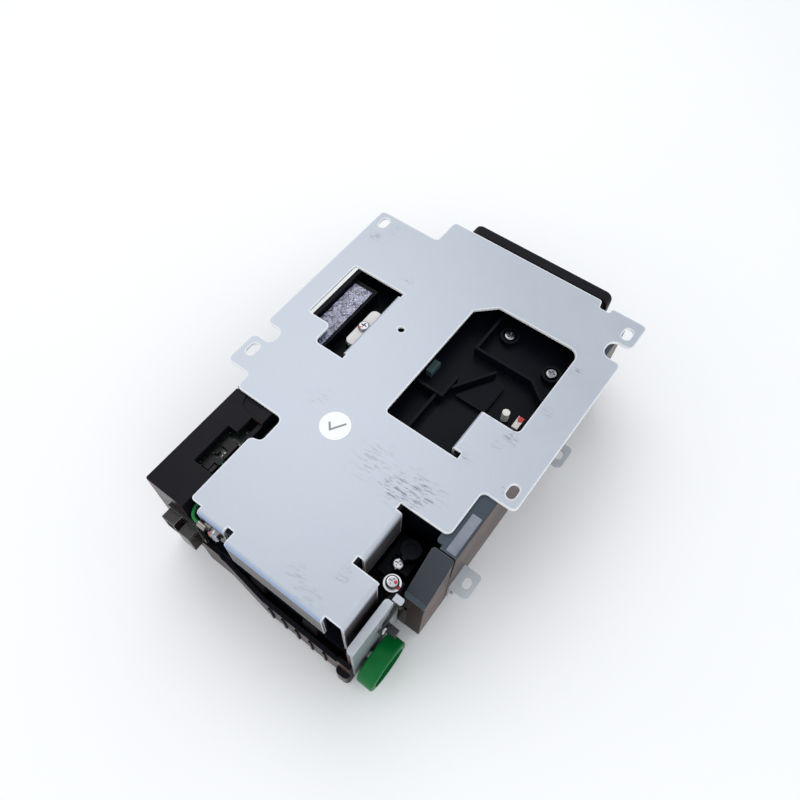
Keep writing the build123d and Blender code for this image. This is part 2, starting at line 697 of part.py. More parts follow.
def gate_solenoid():
    """Solenoid behind the crank, with a bore for its plunger."""
    z = shutter_z + crank_len
    front = shutter_y - 12.5
    body = block(solenoid_x - 7, solenoid_x + 7, front - 24, front, z - 7.5, z + 7.5)
    body = fillet(body.edges().filter_by(Axis.Y), 1.0)
    body -= rod_y(2.5 + running, front - 20, front, solenoid_x, z)
    return body + block(solenoid_x - 6, solenoid_x + 6, front - 22, front - 2, floor_z, z - 7.5)


def solenoid_plunger():
    """Plunger whose slotted end takes the crank's pin."""
    z = shutter_z + crank_len
    rod = rod_y(2.5, shutter_y - 25, shutter_y - 3.9, solenoid_x, z)
    fork = block(solenoid_x - 1, solenoid_x + 1.4, shutter_y - 4.1, shutter_y + 3.9, z - 6.5, z + 3.0)
    gap = block(solenoid_x - 1, solenoid_x + 1.4, shutter_y - 1.9, shutter_y + 1.9, z - 5.0, z + 1.4)
    return rod + fork - gap


# ---- hand wheel, its bracket and the lock lever --------------------------------------------
lever_y = body_rear + 19.5
lever_z = -26.0
lever_x = inner_wall_x + bracket_t + 0.4


def hand_wheel():
    """Thumb wheel, hollow on the outside, with a knurled rim and a hub on the shaft."""
    x1 = wheel_x + wheel_w
    rim = rod_x(wheel_r, wheel_x, x1, rear_y, drive_z)
    rim = fillet(rim.edges().filter_by(GeomType.CIRCLE), 1.0)
    rim -= rod_x(wheel_r - 2.6, wheel_x + 2.4, x1, rear_y, drive_z)
    rim += rod_x(5.0, wheel_x + 2.0, x1 - 1.6, rear_y, drive_z)
    return rim - rod_x(shaft_r, wheel_x, x1 - 2.4, rear_y, drive_z)


def wheel_bracket():
    """Folded bracket on the tall wall: a web that the shaft passes, a top flange and a small ear."""
    top = -bracket_depth
    low = top - bracket_t
    x0 = inner_wall_x
    x1 = x0 + bracket_t
    y0 = body_rear + 1.9
    y1 = y0 + 25.3
    y2 = y1 + 0.6
    y3 = y1 + 3.6
    web = block(x0, x1, y0, y3, drive_z - 6, top) - block(x0, x1, y1, y2, top - 6, top)
    flange = rounded(((x0 - 2.3, y0, 1.6), (x0 - 2.3, y1, 1.6), (x1, y1, 1.0), (x1, y0, 1.0)), low, top)
    ear = rounded(((x0, y2, 0), (x1 + 3, y2, 1), (x1 + 3, y3, 1), (x0, y3, 0)), low, top)
    sheet = web + flange + ear
    sheet -= rod_x(shaft_r + 0.5, x0, x1, rear_y, drive_z)
    return sheet - rod_x(1.2, x0, x1, lever_y, lever_z)


def lock_lever():
    """Small lever that turns on a pin in the bracket, with a pawl over the hand wheel."""
    arm = block(0, 1.0, 0, lever_len, -1.6, 1.6)
    arm += block(0, 2.6, lever_len - 1.2, lever_len, -1.6, 1.6)
    arm = Rot(lever_slope, 0, 0) * arm
    pawl = block(0, 1.0, 0.5, 4.0, -5.6, 0) + block(0, 5.8, 0.5, 4.0, -5.6, -2.8)
    lever = Pos(lever_x, lever_y, lever_z) * (arm + pawl)
    lever += rod_x(2.6, lever_x, lever_x + 1.0, lever_y, lever_z)
    return lever - rod_x(1.2 + running, lever_x, lever_x + 1.0, lever_y, lever_z)


def lever_pin():
    """Headed pin through the bracket and the lever."""
    pin = rod_x(1.2, inner_wall_x, lever_x + 1.3, lever_y, lever_z)
    return pin + rod_x(2.0, lever_x + 1.3, lever_x + 2.0, lever_y, lever_z)


# ---- side brackets -------------------------------------------------------------------------
tab_z = base_z + tab_lift
tab_ys = (tab_middle_y + tab_pitch / 2, tab_middle_y - tab_pitch / 2)


def side_bracket(y):
    """Zinc bracket on the side cover, with a slotted tab that points outwards."""
    reach = cover_x + tab_reach
    y0 = y - tab_len / 2
    y1 = y + tab_len / 2
    corners = ((cover_x, y0, 0), (reach, y0, 2.2), (reach, y1, 2.2), (cover_x, y1, 0))
    tab = rounded(corners, tab_z - tab_t, tab_z)
    leg = block(cover_x, cover_x + tab_t, y0, y1, tab_z - 12.0, tab_z)
    bracket = tab + leg - slot_z(tab_hole_x, y, tab_slot_r, tab_slot_len, tab_z - tab_t, tab_z)
    for side in (-1, 1):
        bracket -= rod_x(1.5, cover_x, cover_x + tab_t, y + side * 3.6, tab_z - 7.0)
    return bracket


tab_hole_x = cover_x + 5.4


def bracket_screw_places():
    """Two screws in each side bracket's leg."""
    return [(cover_x + tab_t, y + side * 3.6, tab_z - 7.0) for y in tab_ys for side in (-1, 1)]


# ---- earth lead and connectors -------------------------------------------------------------
def earth_place():
    """Earth screw's centre on the narrow rear flange's outer face."""
    return (-1.7, tail_rear - plate_t, -7.4)


wire_r = 0.8
wire_end = (-10.2, earth_place()[1] - 1.6, earth_place()[2])
wire_points = (
    (-20.2, -96.7, -5.8), (-17.9, -96.7, -5.8), (-16.1, -98.4, -5.7), (-15.4, -101.6, -5.6),
    (-15.3, -107.0, -5.4), (-15.4, -112.5, -5.4), (-15.6, wire_end[1] + 3.6, -6.2),
    (-14.4, wire_end[1] + 0.8, -7.1), (wire_end[0] - 1.9, wire_end[1], wire_end[2]), wire_end,
)


def bend_radii(points):
    """For each corner, 0.45 of its shorter run over the tangent of half its turn."""
    radii = []
    for a, b, c in zip(points, points[1:], points[2:]):
        before = Vector(*b) - Vector(*a)
        after = Vector(*c) - Vector(*b)
        turn = before.get_angle(after)
        radii.append(0.45 * min(before.length, after.length) / math.tan(math.radians(turn / 2)))
    return radii


def earth_wire():
    """Green lead from the housing's board to the ring terminal."""
    radii = bend_radii(wire_points)
    route = FilletPolyline(*wire_points, radius=radii)
    section = Plane(origin=route @ 0, z_dir=route % 0) * Circle(wire_r)
    lead = sweep(section, path=route)
    share = lead.volume / (math.pi * wire_r ** 2 * route.length)
    print("earth wire radii", [round(r, 1) for r in radii])
    print("earth wire length", round(route.length, 1), "volume share", round(share, 3))
    return lead


def ring_terminal():
    """Crimped ring terminal under the earth screw."""
    x, y, z = earth_place()
    ring = rod_y(3.4, y - 0.8, y, x, z) + block(wire_end[0] + 2.5, x, y - 0.8, y, z - 1.3, z + 1.3)
    ring += rod_x(1.5, wire_end[0], wire_end[0] + 4.0, wire_end[1], z) & block(
        wire_end[0], wire_end[0] + 4.0, wire_end[1] - 2, y, z - 2, z + 2)
    return ring - rod_y(1.55, y - 0.8, y, x, z)


connector_face = body_rear + rear_cut + 1.6
header_face = connector_face - connector_board_t
header_low = header_top - header_drop


def connector_board():
    """Upright board on the rear face of the left housing."""
    low = plug_top - plug_drop - 1.0
    return block(header_left - 1, plug_right + 1, header_face, connector_face, low, header_top + 1)


def interface_connector():
    """Open pin header on the connector board."""
    shell = block(header_left, header_right, header_face - header_out, header_face, header_low, header_top)
    return shell - block(header_left + 1, header_right - 1, header_face - header_out, header_face - 1.2,
                         header_low + 1, header_top - 1)


def interface_pins():
    """Two rows of contact pins in the header."""
    y1 = header_face - 1.2
    middle = (header_left + header_right) / 2
    return [block(x - 0.35, x + 0.35, y1 - 3.2, y1, z - 0.35, z + 0.35)
            for x in (middle - 1.6, middle, middle + 1.6) for z in (header_top - 3.1, header_low + 3.1)]


def power_connector():
    """Closed block connector beside the header."""
    out = header_face - header_out - 0.3
    plug = block(header_right + 1.0, plug_right, out, header_face, plug_top - plug_drop, plug_top)
    return chamfer(plug.edges().filter_by(Axis.Y), 0.6)


# ---- boards, cable and small parts ---------------------------------------------------------
def main_board():
    """Control board on posts over the deck at the rear."""
    z = deck_z + 2.4
    return block(-9.0, 47.5, -114.0, -70.0, z, z + 1.6)


def board_parts():
    """Chips, capacitors and headers on the control board."""
    z = deck_z + 4.0
    spots = ((0, -84, 12, 12, 1.6), (20, -82, 14, 14, 1.6), (36, -96, 8, 10, 1.4), (8, -102, 16, 5, 4.5),
             (28, -108, 20, 5, 4.5), (40, -80, 5, 5, 5.0))
    return [block(x - w / 2, x + w / 2, y - d / 2, y + d / 2, z, z + h) for x, y, w, d, h in spots]


def housing_board():
    """Board on the left housing's shelf, seen through the recess."""
    z = -9.0
    return block(body_left + wall + 0.6, -20.2, -112.0, -78.0, z, z + 1.4)


def housing_parts():
    """Components on the housing's board."""
    z = -7.6
    spots = ((-24.4, -88.0, 5, 5, 1.8), (-25.4, -99.0, 4, 6, 1.4), (-21.4, -90.5, 1.6, 8, 2.6),
             (-21.4, -100.6, 1.6, 3.6, 2.6), (-26.2, -93.6, 2, 2, 1.6))
    return [block(x - w / 2, x + w / 2, y - d / 2, y + d / 2, z, z + h) for x, y, w, d, h in spots]


def earth_plug():
    """Small plug that the earth wire leaves."""
    start = wire_points[0]
    return block(start[0] - 2.8, start[0], start[1] - 1.5, start[1] + 1.5, start[2] - 1.8, start[2] + 1.2)


def flat_cable():
    """Flat flexible cable lying on the frame's pad, with shallow waves."""
    x0 = body_left + wall + 0.7
    low = -4.6
    points = []
    steps = 14
    for i in range(steps + 1):
        points.append((11.5 - i * 72 / steps, low + 0.9 if i % 2 else low + 0.25))
    under = [(y, z - 0.25) for y, z in reversed(points)]
    return slab_x(points + under, x0, x0 + 10.3)


def clamp_outline(margin):
    """Outline of the cable clamp, long along Y."""
    x, y = clamp_place
    half_w = 2.8 + margin
    half_l = 11.0 + margin
    r = half_w - 0.3
    return ((x - half_w, y - half_l, r), (x + half_w, y - half_l, r), (x + half_w, y + half_l, r),
            (x - half_w, y + half_l, r))


def cable_clamp():
    """Pale clamp bar beside the small window's tab."""
    bar = rounded(clamp_outline(0), -7.0, -5.2)
    return bar - rod_z(1.5, -7.0, -5.2, *clamp_place)


def sensor_carrier():
    """Dark moulded carrier beside the frame's narrow part, with a round boss."""
    x0 = tail_right + 3.4
    carrier = block(x0, x0 + 5.0, -89.0, -70.5, split_z, -22.0)
    carrier += block(x0, x0 + 11.0, -84.0, -70.5, split_z, -24.0)
    carrier += rod_z(4.3, split_z, -17.0, 61.5, -75.6) - rod_z(2.6, -18.0, -17.0, 61.5, -75.6)
    x, y, z = carrier_screw_place
    carrier -= block(x - 3.2, x + 3.2, y - 3.2, y + 3.2, z, z + 3)
    return carrier - rod_z(1.5, z - 4, z, x, y)


carrier_screw_place = (60.0, -82.0, -24.0)


def small_plugs():
    """White plugs of the sensor leads, on the deck under the large window."""
    return [
        rod_z(1.7, deck_z, deck_z + 5.5, 59.6, -4.2),
        block(64.8, 67.6, -8.4, -2.0, deck_z, deck_z + 5.0),
        block(18.6, 21.8, -6.0, 1.2, deck_z, deck_z + 3.6),
    ]


def clear_strip():
    """Clear strip over the side cover's top, at the rear."""
    return block(wall_x + 2.2, cover_x - 1.0, -72.6, -54.0, -1.5, -1.2)


def inspection_label():
    """Round paper label on the plate."""
    return rod_z(6.75, 0, 0.12, 7.8, -56.7)


# ---- write the nodes -----------------------------------------------------------------------
def write_nodes():
    """One STEP file for each node."""
    save("mounting_plate", mounting_plate())
    save("inspection_label", inspection_label())
    save("lower_chassis", lower_chassis())
    save("upper_frame", upper_frame())
    save("left_housing", left_housing())
    save("right_cover", right_cover())
    save("drive_cover", drive_cover())
    save("bezel", bezel())
    save("lower_note_guide", lower_note_guide())
    save("upper_note_guide", upper_note_guide())
    save("upper_sensor_bar", sensor_bar(1))
    save("lower_sensor_bar", sensor_bar(-1))
    for name, y in zip(("front", "middle", "rear"), drive_ys):
        save(f"{name}_drive_shaft", drive_shaft(y))
        save(f"{name}_drive_rollers", *[tyre(x, y, drive_z, drive_r, shaft_r) for x in roller_xs])
        save(f"{name}_pressure_roller", press_shaft(y),
             *[tyre(x, y, press_z, press_r, press_shaft_r) for x in roller_xs])
    save("front_pulley", pulley(right_pulley_x, front_y))
    save("middle_pulleys", pulley(right_pulley_x, middle_y), pulley(left_pulley_x, middle_y))
    save("rear_pulley", pulley(left_pulley_x, rear_y))
    save("front_belt", belt(right_pulley_x, front_y, middle_y))
    save("rear_belt", belt(left_pulley_x, middle_y, rear_y))
    save("shaft_bushes", *bushes())
    save("pressure_springs", *leaf_springs())
    save("drive_gear", drive_gear())
    spindle = rod_x(1.0, motor_plate_x + bracket_t, gear_x + gear_w, motor_y, motor_z)
    save("motor_pinion", motor_pinion(), spindle)
    save("motor", motor())
    save("motor_plate", motor_plate())
    save("entry_shutter", entry_shutter())
    save("gate_solenoid", gate_solenoid())
    save("solenoid_plunger", solenoid_plunger())
    save("hand_wheel", hand_wheel())
    save("wheel_bracket", wheel_bracket())
    save("lock_lever", lock_lever())
    save("lever_pin", lever_pin())
    save("front_side_bracket", side_bracket(tab_ys[0]))
    save("rear_side_bracket", side_bracket(tab_ys[1]))
    side_screw = Rot(0, 90, 0) * screw(2.4, 1.5, 1.5, 3.0)
    save("bracket_screws", *[Pos(*place) * side_screw for place in bracket_screw_places()])
    top = -bracket_depth
    washer = rod_z(3.6, top, top + 0.7, washer_x, washer_y)
    save("screw_washer", washer - rod_z(1.5, top, top + 0.7, washer_x, washer_y))
    save("washer_screw", Pos(washer_x, washer_y, top + 0.7) * screw(2.8, 1.9, 1.3, 9.0))
    seats = [(x, y, deck_z + 2) for x, y in frame_screw_places]
    seats += [(*clamp_place, -5.2), carrier_screw_place]
    save("frame_screws", *[Pos(*seat) * screw(2.7, 1.7, 1.5, 4.0) for seat in seats])
    x, y, z = earth_place()
    save("earth_screw", Pos(x, y - 0.8, z) * Rot(90, 0, 0) * screw(3.0, 2.2, 1.5, 4.0))
    save("ring_terminal", ring_terminal())
    save("earth_wire", earth_wire())
    save("connector_board", connector_board())
    save("interface_connector", interface_connector(), *interface_pins())
    save("power_connector", power_connector())
    save("main_board", main_board())
    save("board_parts", *board_parts())
    save("housing_board", housing_board())
    save("housing_parts", *housing_parts(), earth_plug())
    save("flat_cable", flat_cable())
    save("cable_clamp", cable_clamp())
    save("sensor_carrier", sensor_carrier())
    save("small_plugs", *small_plugs())
    save("clear_strip", clear_strip())


os.makedirs("parts", exist_ok=True)
write_nodes()
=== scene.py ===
import math

import bmesh
import bpy
import numpy as np
from mathutils import Matrix, Vector


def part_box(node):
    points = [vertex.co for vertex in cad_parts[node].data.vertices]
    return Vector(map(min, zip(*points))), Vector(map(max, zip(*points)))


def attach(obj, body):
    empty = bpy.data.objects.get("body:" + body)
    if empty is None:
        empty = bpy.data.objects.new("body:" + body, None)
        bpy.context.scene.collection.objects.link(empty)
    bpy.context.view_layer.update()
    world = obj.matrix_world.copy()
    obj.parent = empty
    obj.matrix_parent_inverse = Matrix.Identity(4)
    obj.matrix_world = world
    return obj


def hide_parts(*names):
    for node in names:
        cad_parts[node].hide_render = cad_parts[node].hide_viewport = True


MM = 0.001                       # the scene is in metres, sizes on the part are in millimetres
SHARP_ANGLE = math.radians(35)   # edges steeper than this stay sharp
WELD_GAP = 1e-7                  # points closer than this are one, in metres

LENS, SENSOR = 29.97, 36.0
LENS_SHIFT = (0.0314, 0.04655)
CAMERA_PLACE = (0.1044, -0.1533, 0.2411)
CAMERA_AXES = (                  # the camera's right, up and back
    (0.79298, 0.60922, -0.00517),
    (-0.53427, 0.69946, 0.47467),
    (0.29279, -0.37364, 0.88015),
)
LAMPS = (                        # name, place, aim, size, watts and colour
    ("key", (-0.35, 0.25, 0.75), (0, -0.02, -0.03), 0.6, 2.2, (1.0, 0.98, 0.96)),
    ("fill", (0.55, -0.35, 0.5), (0.02, -0.03, -0.03), 0.5, 0.7, (0.95, 0.97, 1.0)),
    ("rear", (-0.1, -0.7, 0.25), (0, -0.05, -0.03), 0.4, 0.35, (1.0, 0.95, 0.9)),
)
WORLD_COLOUR = (0.93, 0.96, 1.0, 1)
WORLD_STRENGTH = 0.82
FLOOR_HALF = 3.0

CUT_EDGE_Z = (-1.4, -1.2)        # the plate's cut edges are above this, its bends and flanges below
REAR_BEND_Y = (-114.0, -112.0)   # the rear bend is behind this
REAR_BEND_Z = (-5.0, -3.0)
FLANGE_Z = (-5.5, -3.4)          # the folded flanges are below this
COVER_Y = (-75.0, 55.0)          # the painted brown reflection on the side cover changes between these
TEAL_PLUG_X = (40.0, 41.0)       # the teal plug is left of this
RED_PLUG = (66.5, -3.0, -7.0)
PIN_INSET = 3.1                  # from the header's top or bottom edge to its row of contacts
PIN_HALF = 0.4
PINS_REACH = 2.0                 # how far the rows reach from the header's middle
WIRE_WAVES = 7.5                 # conductors across the film, in radians to a millimetre
GLINT_Y = (-22.0, -2.0)          # white glints start between these
WASHER_SCREW_R = 2.15            # the washer's screw is black outside this radius
TICK = ((5.0, -56.9), (7.2, -59.4), (10.8, -53.6))
TICK_HALF = 0.45
FILM_CELLS = (70, 380)
FILM_THICK = 0.15
FOLD_SEED = 7
FOLD_WAVES = (9.0, 5.5, 4.2, 3.1, 2.3, 1.9, 1.4)
FOLD_GAIN = 1.7

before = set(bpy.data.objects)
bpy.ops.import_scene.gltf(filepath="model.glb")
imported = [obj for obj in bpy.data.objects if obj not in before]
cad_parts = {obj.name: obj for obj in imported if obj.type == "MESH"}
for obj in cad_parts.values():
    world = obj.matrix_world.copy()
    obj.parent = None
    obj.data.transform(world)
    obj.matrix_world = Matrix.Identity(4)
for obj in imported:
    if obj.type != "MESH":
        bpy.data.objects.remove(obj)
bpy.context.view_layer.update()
base_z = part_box("lower_chassis")[0].z


# ---- camera, light and floor -----------------------------------------------------------------
def add_camera():
    """A camera close above the rear right corner, looking down and forwards to the left."""
    data = bpy.data.cameras.new("camera")
    data.sensor_width = SENSOR
    data.lens = LENS
    data.shift_x, data.shift_y = LENS_SHIFT
    data.clip_start = 0.01
    camera = bpy.data.objects.new("camera", data)
    bpy.context.scene.collection.objects.link(camera)
    turn = Matrix(CAMERA_AXES).transposed()
    camera.matrix_world = Matrix.Translation(CAMERA_PLACE) @ turn.to_4x4()
    bpy.context.scene.camera = camera


def add_lamp(name, place, aim, size, watts, colour):
    """A square area lamp at place that points to aim."""
    data = bpy.data.lights.new(name, "AREA")
    data.size = size
    data.energy = watts
    data.color = colour
    lamp = bpy.data.objects.new(name, data)
    bpy.context.scene.collection.objects.link(lamp)
    direction = Vector(aim) - Vector(place)
    lamp.location = place
    lamp.rotation_euler = direction.to_track_quat("-Z", "Y").to_euler()


def add_room():
    """Pale floor under the part, a soft white world and three large soft lamps."""
    scene = bpy.context.scene
    scene.view_settings.view_transform = "Standard"
    world = bpy.data.worlds.new("studio")
    world.use_nodes = True
    background = world.node_tree.nodes["Background"]
    background.inputs["Color"].default_value = WORLD_COLOUR
    background.inputs["Strength"].default_value = WORLD_STRENGTH
    scene.world = world
    for lamp in LAMPS:
        add_lamp(*lamp)
    half = FLOOR_HALF
    points = np.array([[(-half, -half), (-half, half)], [(half, -half), (half, half)]])
    floor = surface("floor", np.dstack([points, np.full((2, 2), base_z)]))
    floor.data.materials.append(floor_finish())


# ---- meshes ----------------------------------------------------------------------------------
def surface(name, points, thickness=0.0):
    """A mesh over an array of points indexed [u, v], one quad to a cell."""
    rows, columns = points.shape[:2]
    index = np.arange(rows * columns).reshape(rows, columns)
    quads = np.stack([index[:-1, :-1], index[1:, :-1], index[1:, 1:], index[:-1, 1:]], -1).reshape(-1, 4)
    mesh = bpy.data.meshes.new(name)
    mesh.from_pydata(points.reshape(-1, 3).tolist(), [], quads.tolist())
    thing = bpy.data.objects.new(name, mesh)
    bpy.context.scene.collection.objects.link(thing)
    weld(mesh)
    if thickness:
        solid = thing.modifiers.new("thickness", "SOLIDIFY")
        solid.thickness = thickness
        solid.offset = 0
    return thing


def weld(mesh):
    """Join doubled points, turn a closed mesh's faces outwards and smooth what isn't a sharp edge."""
    work = bmesh.new()
    work.from_mesh(mesh)
    bmesh.ops.remove_doubles(work, verts=work.verts, dist=WELD_GAP)
    bmesh.ops.dissolve_degenerate(work, edges=work.edges, dist=WELD_GAP)
    if all(edge.is_manifold for edge in work.edges):
        bmesh.ops.recalc_face_normals(work, faces=work.faces)
    work.to_mesh(mesh)
    work.free()
    mesh.shade_smooth()
    mesh.set_sharp_from_angle(angle=SHARP_ANGLE)


# ---- node trees ------------------------------------------------------------------------------
def put(tree, kind, inputs=None, **settings):
    """A new node; inputs pairs a socket's name or number with a value or another node's socket."""
    made = tree.nodes.new("ShaderNode" + kind)
    for name, value in settings.items():
        setattr(made, name, value)
    for name, value in (inputs or {}).items():
        if isinstance(value, bpy.types.NodeSocket):
            tree.links.new(value, made.inputs[name])
        else:
            made.inputs[name].default_value = value
    return made


def maths(tree, operation, a, b=0.0, clamp=False):
    """The output of a Math node."""
    return put(tree, "Math", {0: a, 1: b}, operation=operation, use_clamp=clamp).outputs[0]


def times(tree, a, b, clamp=False):
    """a times b, held between 0 and 1 if clamp is set."""
    return maths(tree, "MULTIPLY", a, b, clamp)


def plus(tree, a, b):
    """a plus b."""
    return maths(tree, "ADD", a, b)


def minus(tree, a, b):
    """a minus b."""
    return maths(tree, "SUBTRACT", a, b)


def rest(tree, share):
    """What a share leaves of 1."""
    return minus(tree, 1.0, share)


def within(tree, value, middle, reach):
    """1 where a value is closer than reach to middle, 0 elsewhere."""
    return maths(tree, "LESS_THAN", maths(tree, "ABSOLUTE", minus(tree, value, middle)), reach)


def axes(tree, vector):
    """The X, Y and Z of a vector."""
    return put(tree, "SeparateXYZ", {0: vector}).outputs


def facing_axes(tree):
    """The X, Y and Z of the way the surface faces."""
    return axes(tree, put(tree, "NewGeometry").outputs["Normal"])


def mixed(tree, share, a, b):
    """The output of a Mix node for colours: a where share is 0, b where it is 1."""
    made = put(tree, "Mix", {0: share, 6: a, 7: b}, data_type="RGBA", blend_type="MIX")
    return made.outputs[2]


def ramp(tree, value, low, high):
    """0 below low, 1 above high, and a smooth rise between."""
    made = put(tree, "MapRange", {0: value, 1: low, 2: high}, interpolation_type="SMOOTHSTEP")
    return made.outputs[0]


def place_mm(tree, stretch=(1, 1, 1), turn=0.0):
    """The point on the object in millimetres, turned about Z and stretched."""
    coordinates = put(tree, "TexCoord").outputs["Object"]
    turned = put(tree, "Mapping", {"Vector": coordinates, "Rotation": (0, 0, turn)})
    scale = [s / MM for s in stretch]
    return put(tree, "Mapping", {"Vector": turned.outputs[0], "Scale": scale}).outputs[0]


def noise(tree, where, scale, detail=3.0, rough=0.55, warp=0.0):
    """A noise value between 0 and 1; scale is in waves to a millimetre."""
    sockets = {"Vector": where, "Scale": scale, "Detail": detail, "Roughness": rough, "Distortion": warp}
    return put(tree, "TexNoise", sockets).outputs[0]


def group(name, inputs, outputs):
    """An empty shader group with named sockets: its tree, its input sockets and its output sockets."""
    tree = bpy.data.node_groups.new(name, "ShaderNodeTree")
    for label, kind, value in inputs:
        socket = tree.interface.new_socket(name=label, in_out="INPUT", socket_type="NodeSocket" + kind)
        socket.default_value = value
    for label, kind in outputs:
        tree.interface.new_socket(name=label, in_out="OUTPUT", socket_type="NodeSocket" + kind)
    return tree, tree.nodes.new("NodeGroupInput").outputs, tree.nodes.new("NodeGroupOutput").inputs


def use(tree, shared, **values):
    """A shared group placed in a material; an underscore in a value's name stands for a space."""
    made = tree.nodes.new("ShaderNodeGroup")
    made.node_tree = shared
    for name, value in values.items():
        socket = made.inputs[name.replace("_", " ")]
        if isinstance(value, bpy.types.NodeSocket):
            tree.links.new(value, socket)
        else:
            socket.default_value = value
    return made.outputs


def build_edge_wear_and_highlight():
    """Rubbed edges and painted edge highlight: how far a rounded normal leans from the true one, broken up by
    noise.
    """
    tree, given, result = group(
        "edge wear",
        [("Radius", "Float", 0.4), ("Gain", "Float", 4.0),
         ("Breakup", "Float", 0.6), ("Patch", "Float", 0.5)],
        [("Mask", "Float")],
    )
    reach = times(tree, given["Radius"], MM)
    soft = put(tree, "Bevel", {"Radius": reach}, samples=4).outputs[0]
    true = put(tree, "NewGeometry").outputs["Normal"]
    lean = put(tree, "VectorMath", {0: soft, 1: true}, operation="DOT_PRODUCT").outputs["Value"]
    edge = times(tree, rest(tree, lean), given["Gain"], True)
    patches = ramp(tree, noise(tree, place_mm(tree), given["Patch"]), 0.35, 0.65)
    kept = rest(tree, times(tree, patches, given["Breakup"]))
    tree.links.new(times(tree, edge, kept), result["Mask"])
    return tree


def build_grain():
    """Fine grain of a moulded or sprayed surface: small pits over soft clouds."""
    tree, given, result = group(
        "fine grain",
        [("Pits", "Float", 3.0), ("Clouds", "Float", 0.08)],
        [("Height", "Float"), ("Tone", "Float")],
    )
    where = place_mm(tree)
    pits = noise(tree, where, given["Pits"], 2.0, 0.6)
    cells = put(tree, "TexVoronoi", {"Vector": where, "Scale": given["Pits"]}).outputs["Distance"]
    tree.links.new(times(tree, plus(tree, pits, cells), 0.5), result["Height"])
    clouds = noise(tree, where, given["Clouds"], 4.0, 0.6, 0.4)
    tree.links.new(clouds, result["Tone"])
    return tree


def build_rolled():
    """Rolled sheet: long faint lines along the rolling direction over soft clouds."""
    tree, given, result = group(
        "rolled sheet",
        [("Lines", "Float", 1.6), ("Clouds", "Float", 0.05)],
        [("Tone", "Float"), ("Height", "Float"), ("Lines", "Float")],
    )
    lines = noise(tree, place_mm(tree, (0.035, 1, 1), 0.9), given["Lines"], 4.0, 0.7)
    clouds = noise(tree, place_mm(tree), given["Clouds"], 5.0, 0.62, 0.8)
    fine = noise(tree, place_mm(tree), 2.6, 2.0, 0.5)
    tree.links.new(clouds, result["Tone"])
    tree.links.new(lines, result["Lines"])
    tree.links.new(plus(tree, times(tree, lines, 0.6), fine), result["Height"])
    return tree


def build_scratches():
    """Short scratches and rubs: thin crests of stretched noise, kept in patches."""
    tree, given, result = group(
        "scratches",
        [("Turn", "Float", 0.6), ("Fineness", "Float", 1.2), ("Amount", "Float", 0.5)],
        [("Mask", "Float")],
    )
    spin = put(tree, "CombineXYZ", {2: given["Turn"]}).outputs[0]
    where = put(tree, "Mapping", {"Vector": place_mm(tree), "Rotation": spin}).outputs[0]
    long = put(tree, "Mapping", {"Vector": where, "Scale": (0.07, 1, 1)}).outputs[0]
    crest = ramp(tree, noise(tree, long, given["Fineness"], 5.0, 0.7), 0.60, 0.70)
    patch = ramp(tree, noise(tree, where, 0.035, 3.0), 0.48, 0.66)
    result_value = times(tree, times(tree, crest, patch), given["Amount"])
    tree.links.new(result_value, result["Mask"])
    return tree


def build_dust():
    """Dust on faces that look up, thicker in clouds."""
    tree, given, result = group(
        "dust", [("Amount", "Float", 0.3), ("Specks", "Float", 0.7)], [("Mask", "Float")]
    )
    upward = ramp(tree, facing_axes(tree)[2], 0.3, 0.95)
    where = place_mm(tree)
    specks = ramp(tree, noise(tree, where, given["Specks"], 6.0, 0.8), 0.60, 0.72)
    film = ramp(tree, noise(tree, where, 0.05, 4.0), 0.35, 0.75)
    cover = plus(tree, times(tree, specks, 0.8), times(tree, film, 0.25))
    cover = times(tree, times(tree, cover, upward), given["Amount"], True)
    tree.links.new(cover, result["Mask"])
    return tree


def build_patch():
    """A soft round patch: 1 at its middle, 0 at its radius, with a ragged edge."""
    tree, given, result = group(
        "soft patch",
        [("Middle", "Vector", (0, 0, 0)), ("Radius", "Float", 10.0), ("Ragged", "Float", 0.5)],
        [("Mask", "Float")],
    )
    where = place_mm(tree)
    gap = put(tree, "VectorMath", {0: where, 1: given["Middle"]}, operation="DISTANCE").outputs["Value"]
    share = maths(tree, "DIVIDE", gap, given["Radius"])
    rough = times(tree, minus(tree, noise(tree, where, 0.3, 5.0), 0.5), given["Ragged"])
    mask = rest(tree, ramp(tree, plus(tree, share, rough), 0.0, 1.0))
    tree.links.new(mask, result["Mask"])
    return tree


edge_wear_and_highlight = build_edge_wear_and_highlight()
fine_grain = build_grain()
rolled_sheet = build_rolled()
scratches = build_scratches()
dust = build_dust()
soft_patch = build_patch()


# ---- finishes --------------------------------------------------------------------------------
def new_finish(name, **constants):
    """A material whose shader's constant sockets are set: it, its tree and the shader's sockets."""
    material = bpy.data.materials.new(name)
    material.use_nodes = True
    tree = material.node_tree
    shader = tree.nodes["Principled BSDF"]
    for label, value in constants.items():
        shader.inputs[label.replace("_", " ")].default_value = value
    return material, tree, shader.inputs


def rear_share(tree, facing, low, high):
    """0 to 1 as a face turns to the rear, from low to high of its -Y part."""
    return ramp(tree, times(tree, facing[1], -1.0), low, high)


def bump(tree, shader, height, depth, distance=0.1):
    """Raise the surface by a height value; distance is in millimetres."""
    made = put(tree, "Bump", {"Strength": depth, "Distance": distance * MM, "Height": height})
    tree.links.new(made.outputs[0], shader["Normal"])


def set_rough(tree, shader, tone, spread, least):
    """Roughness that grows with a tone, from least to least plus spread."""
    tree.links.new(plus(tree, times(tree, tone, spread), least), shader["Roughness"])


def shade(colour, factor):
    """An opaque colour times a factor."""
    return (*(min(1.0, c * factor) for c in colour), 1)


def floor_finish():
    """Pale matt paper."""
    material, tree, shader = new_finish("pale_floor", Roughness=0.9)
    tone = noise(tree, place_mm(tree), 0.01, 2.0)
    tree.links.new(mixed(tree, tone, (0.95, 0.95, 0.95, 1), (0.97, 0.97, 0.97, 1)), shader["Base Color"])
    return material


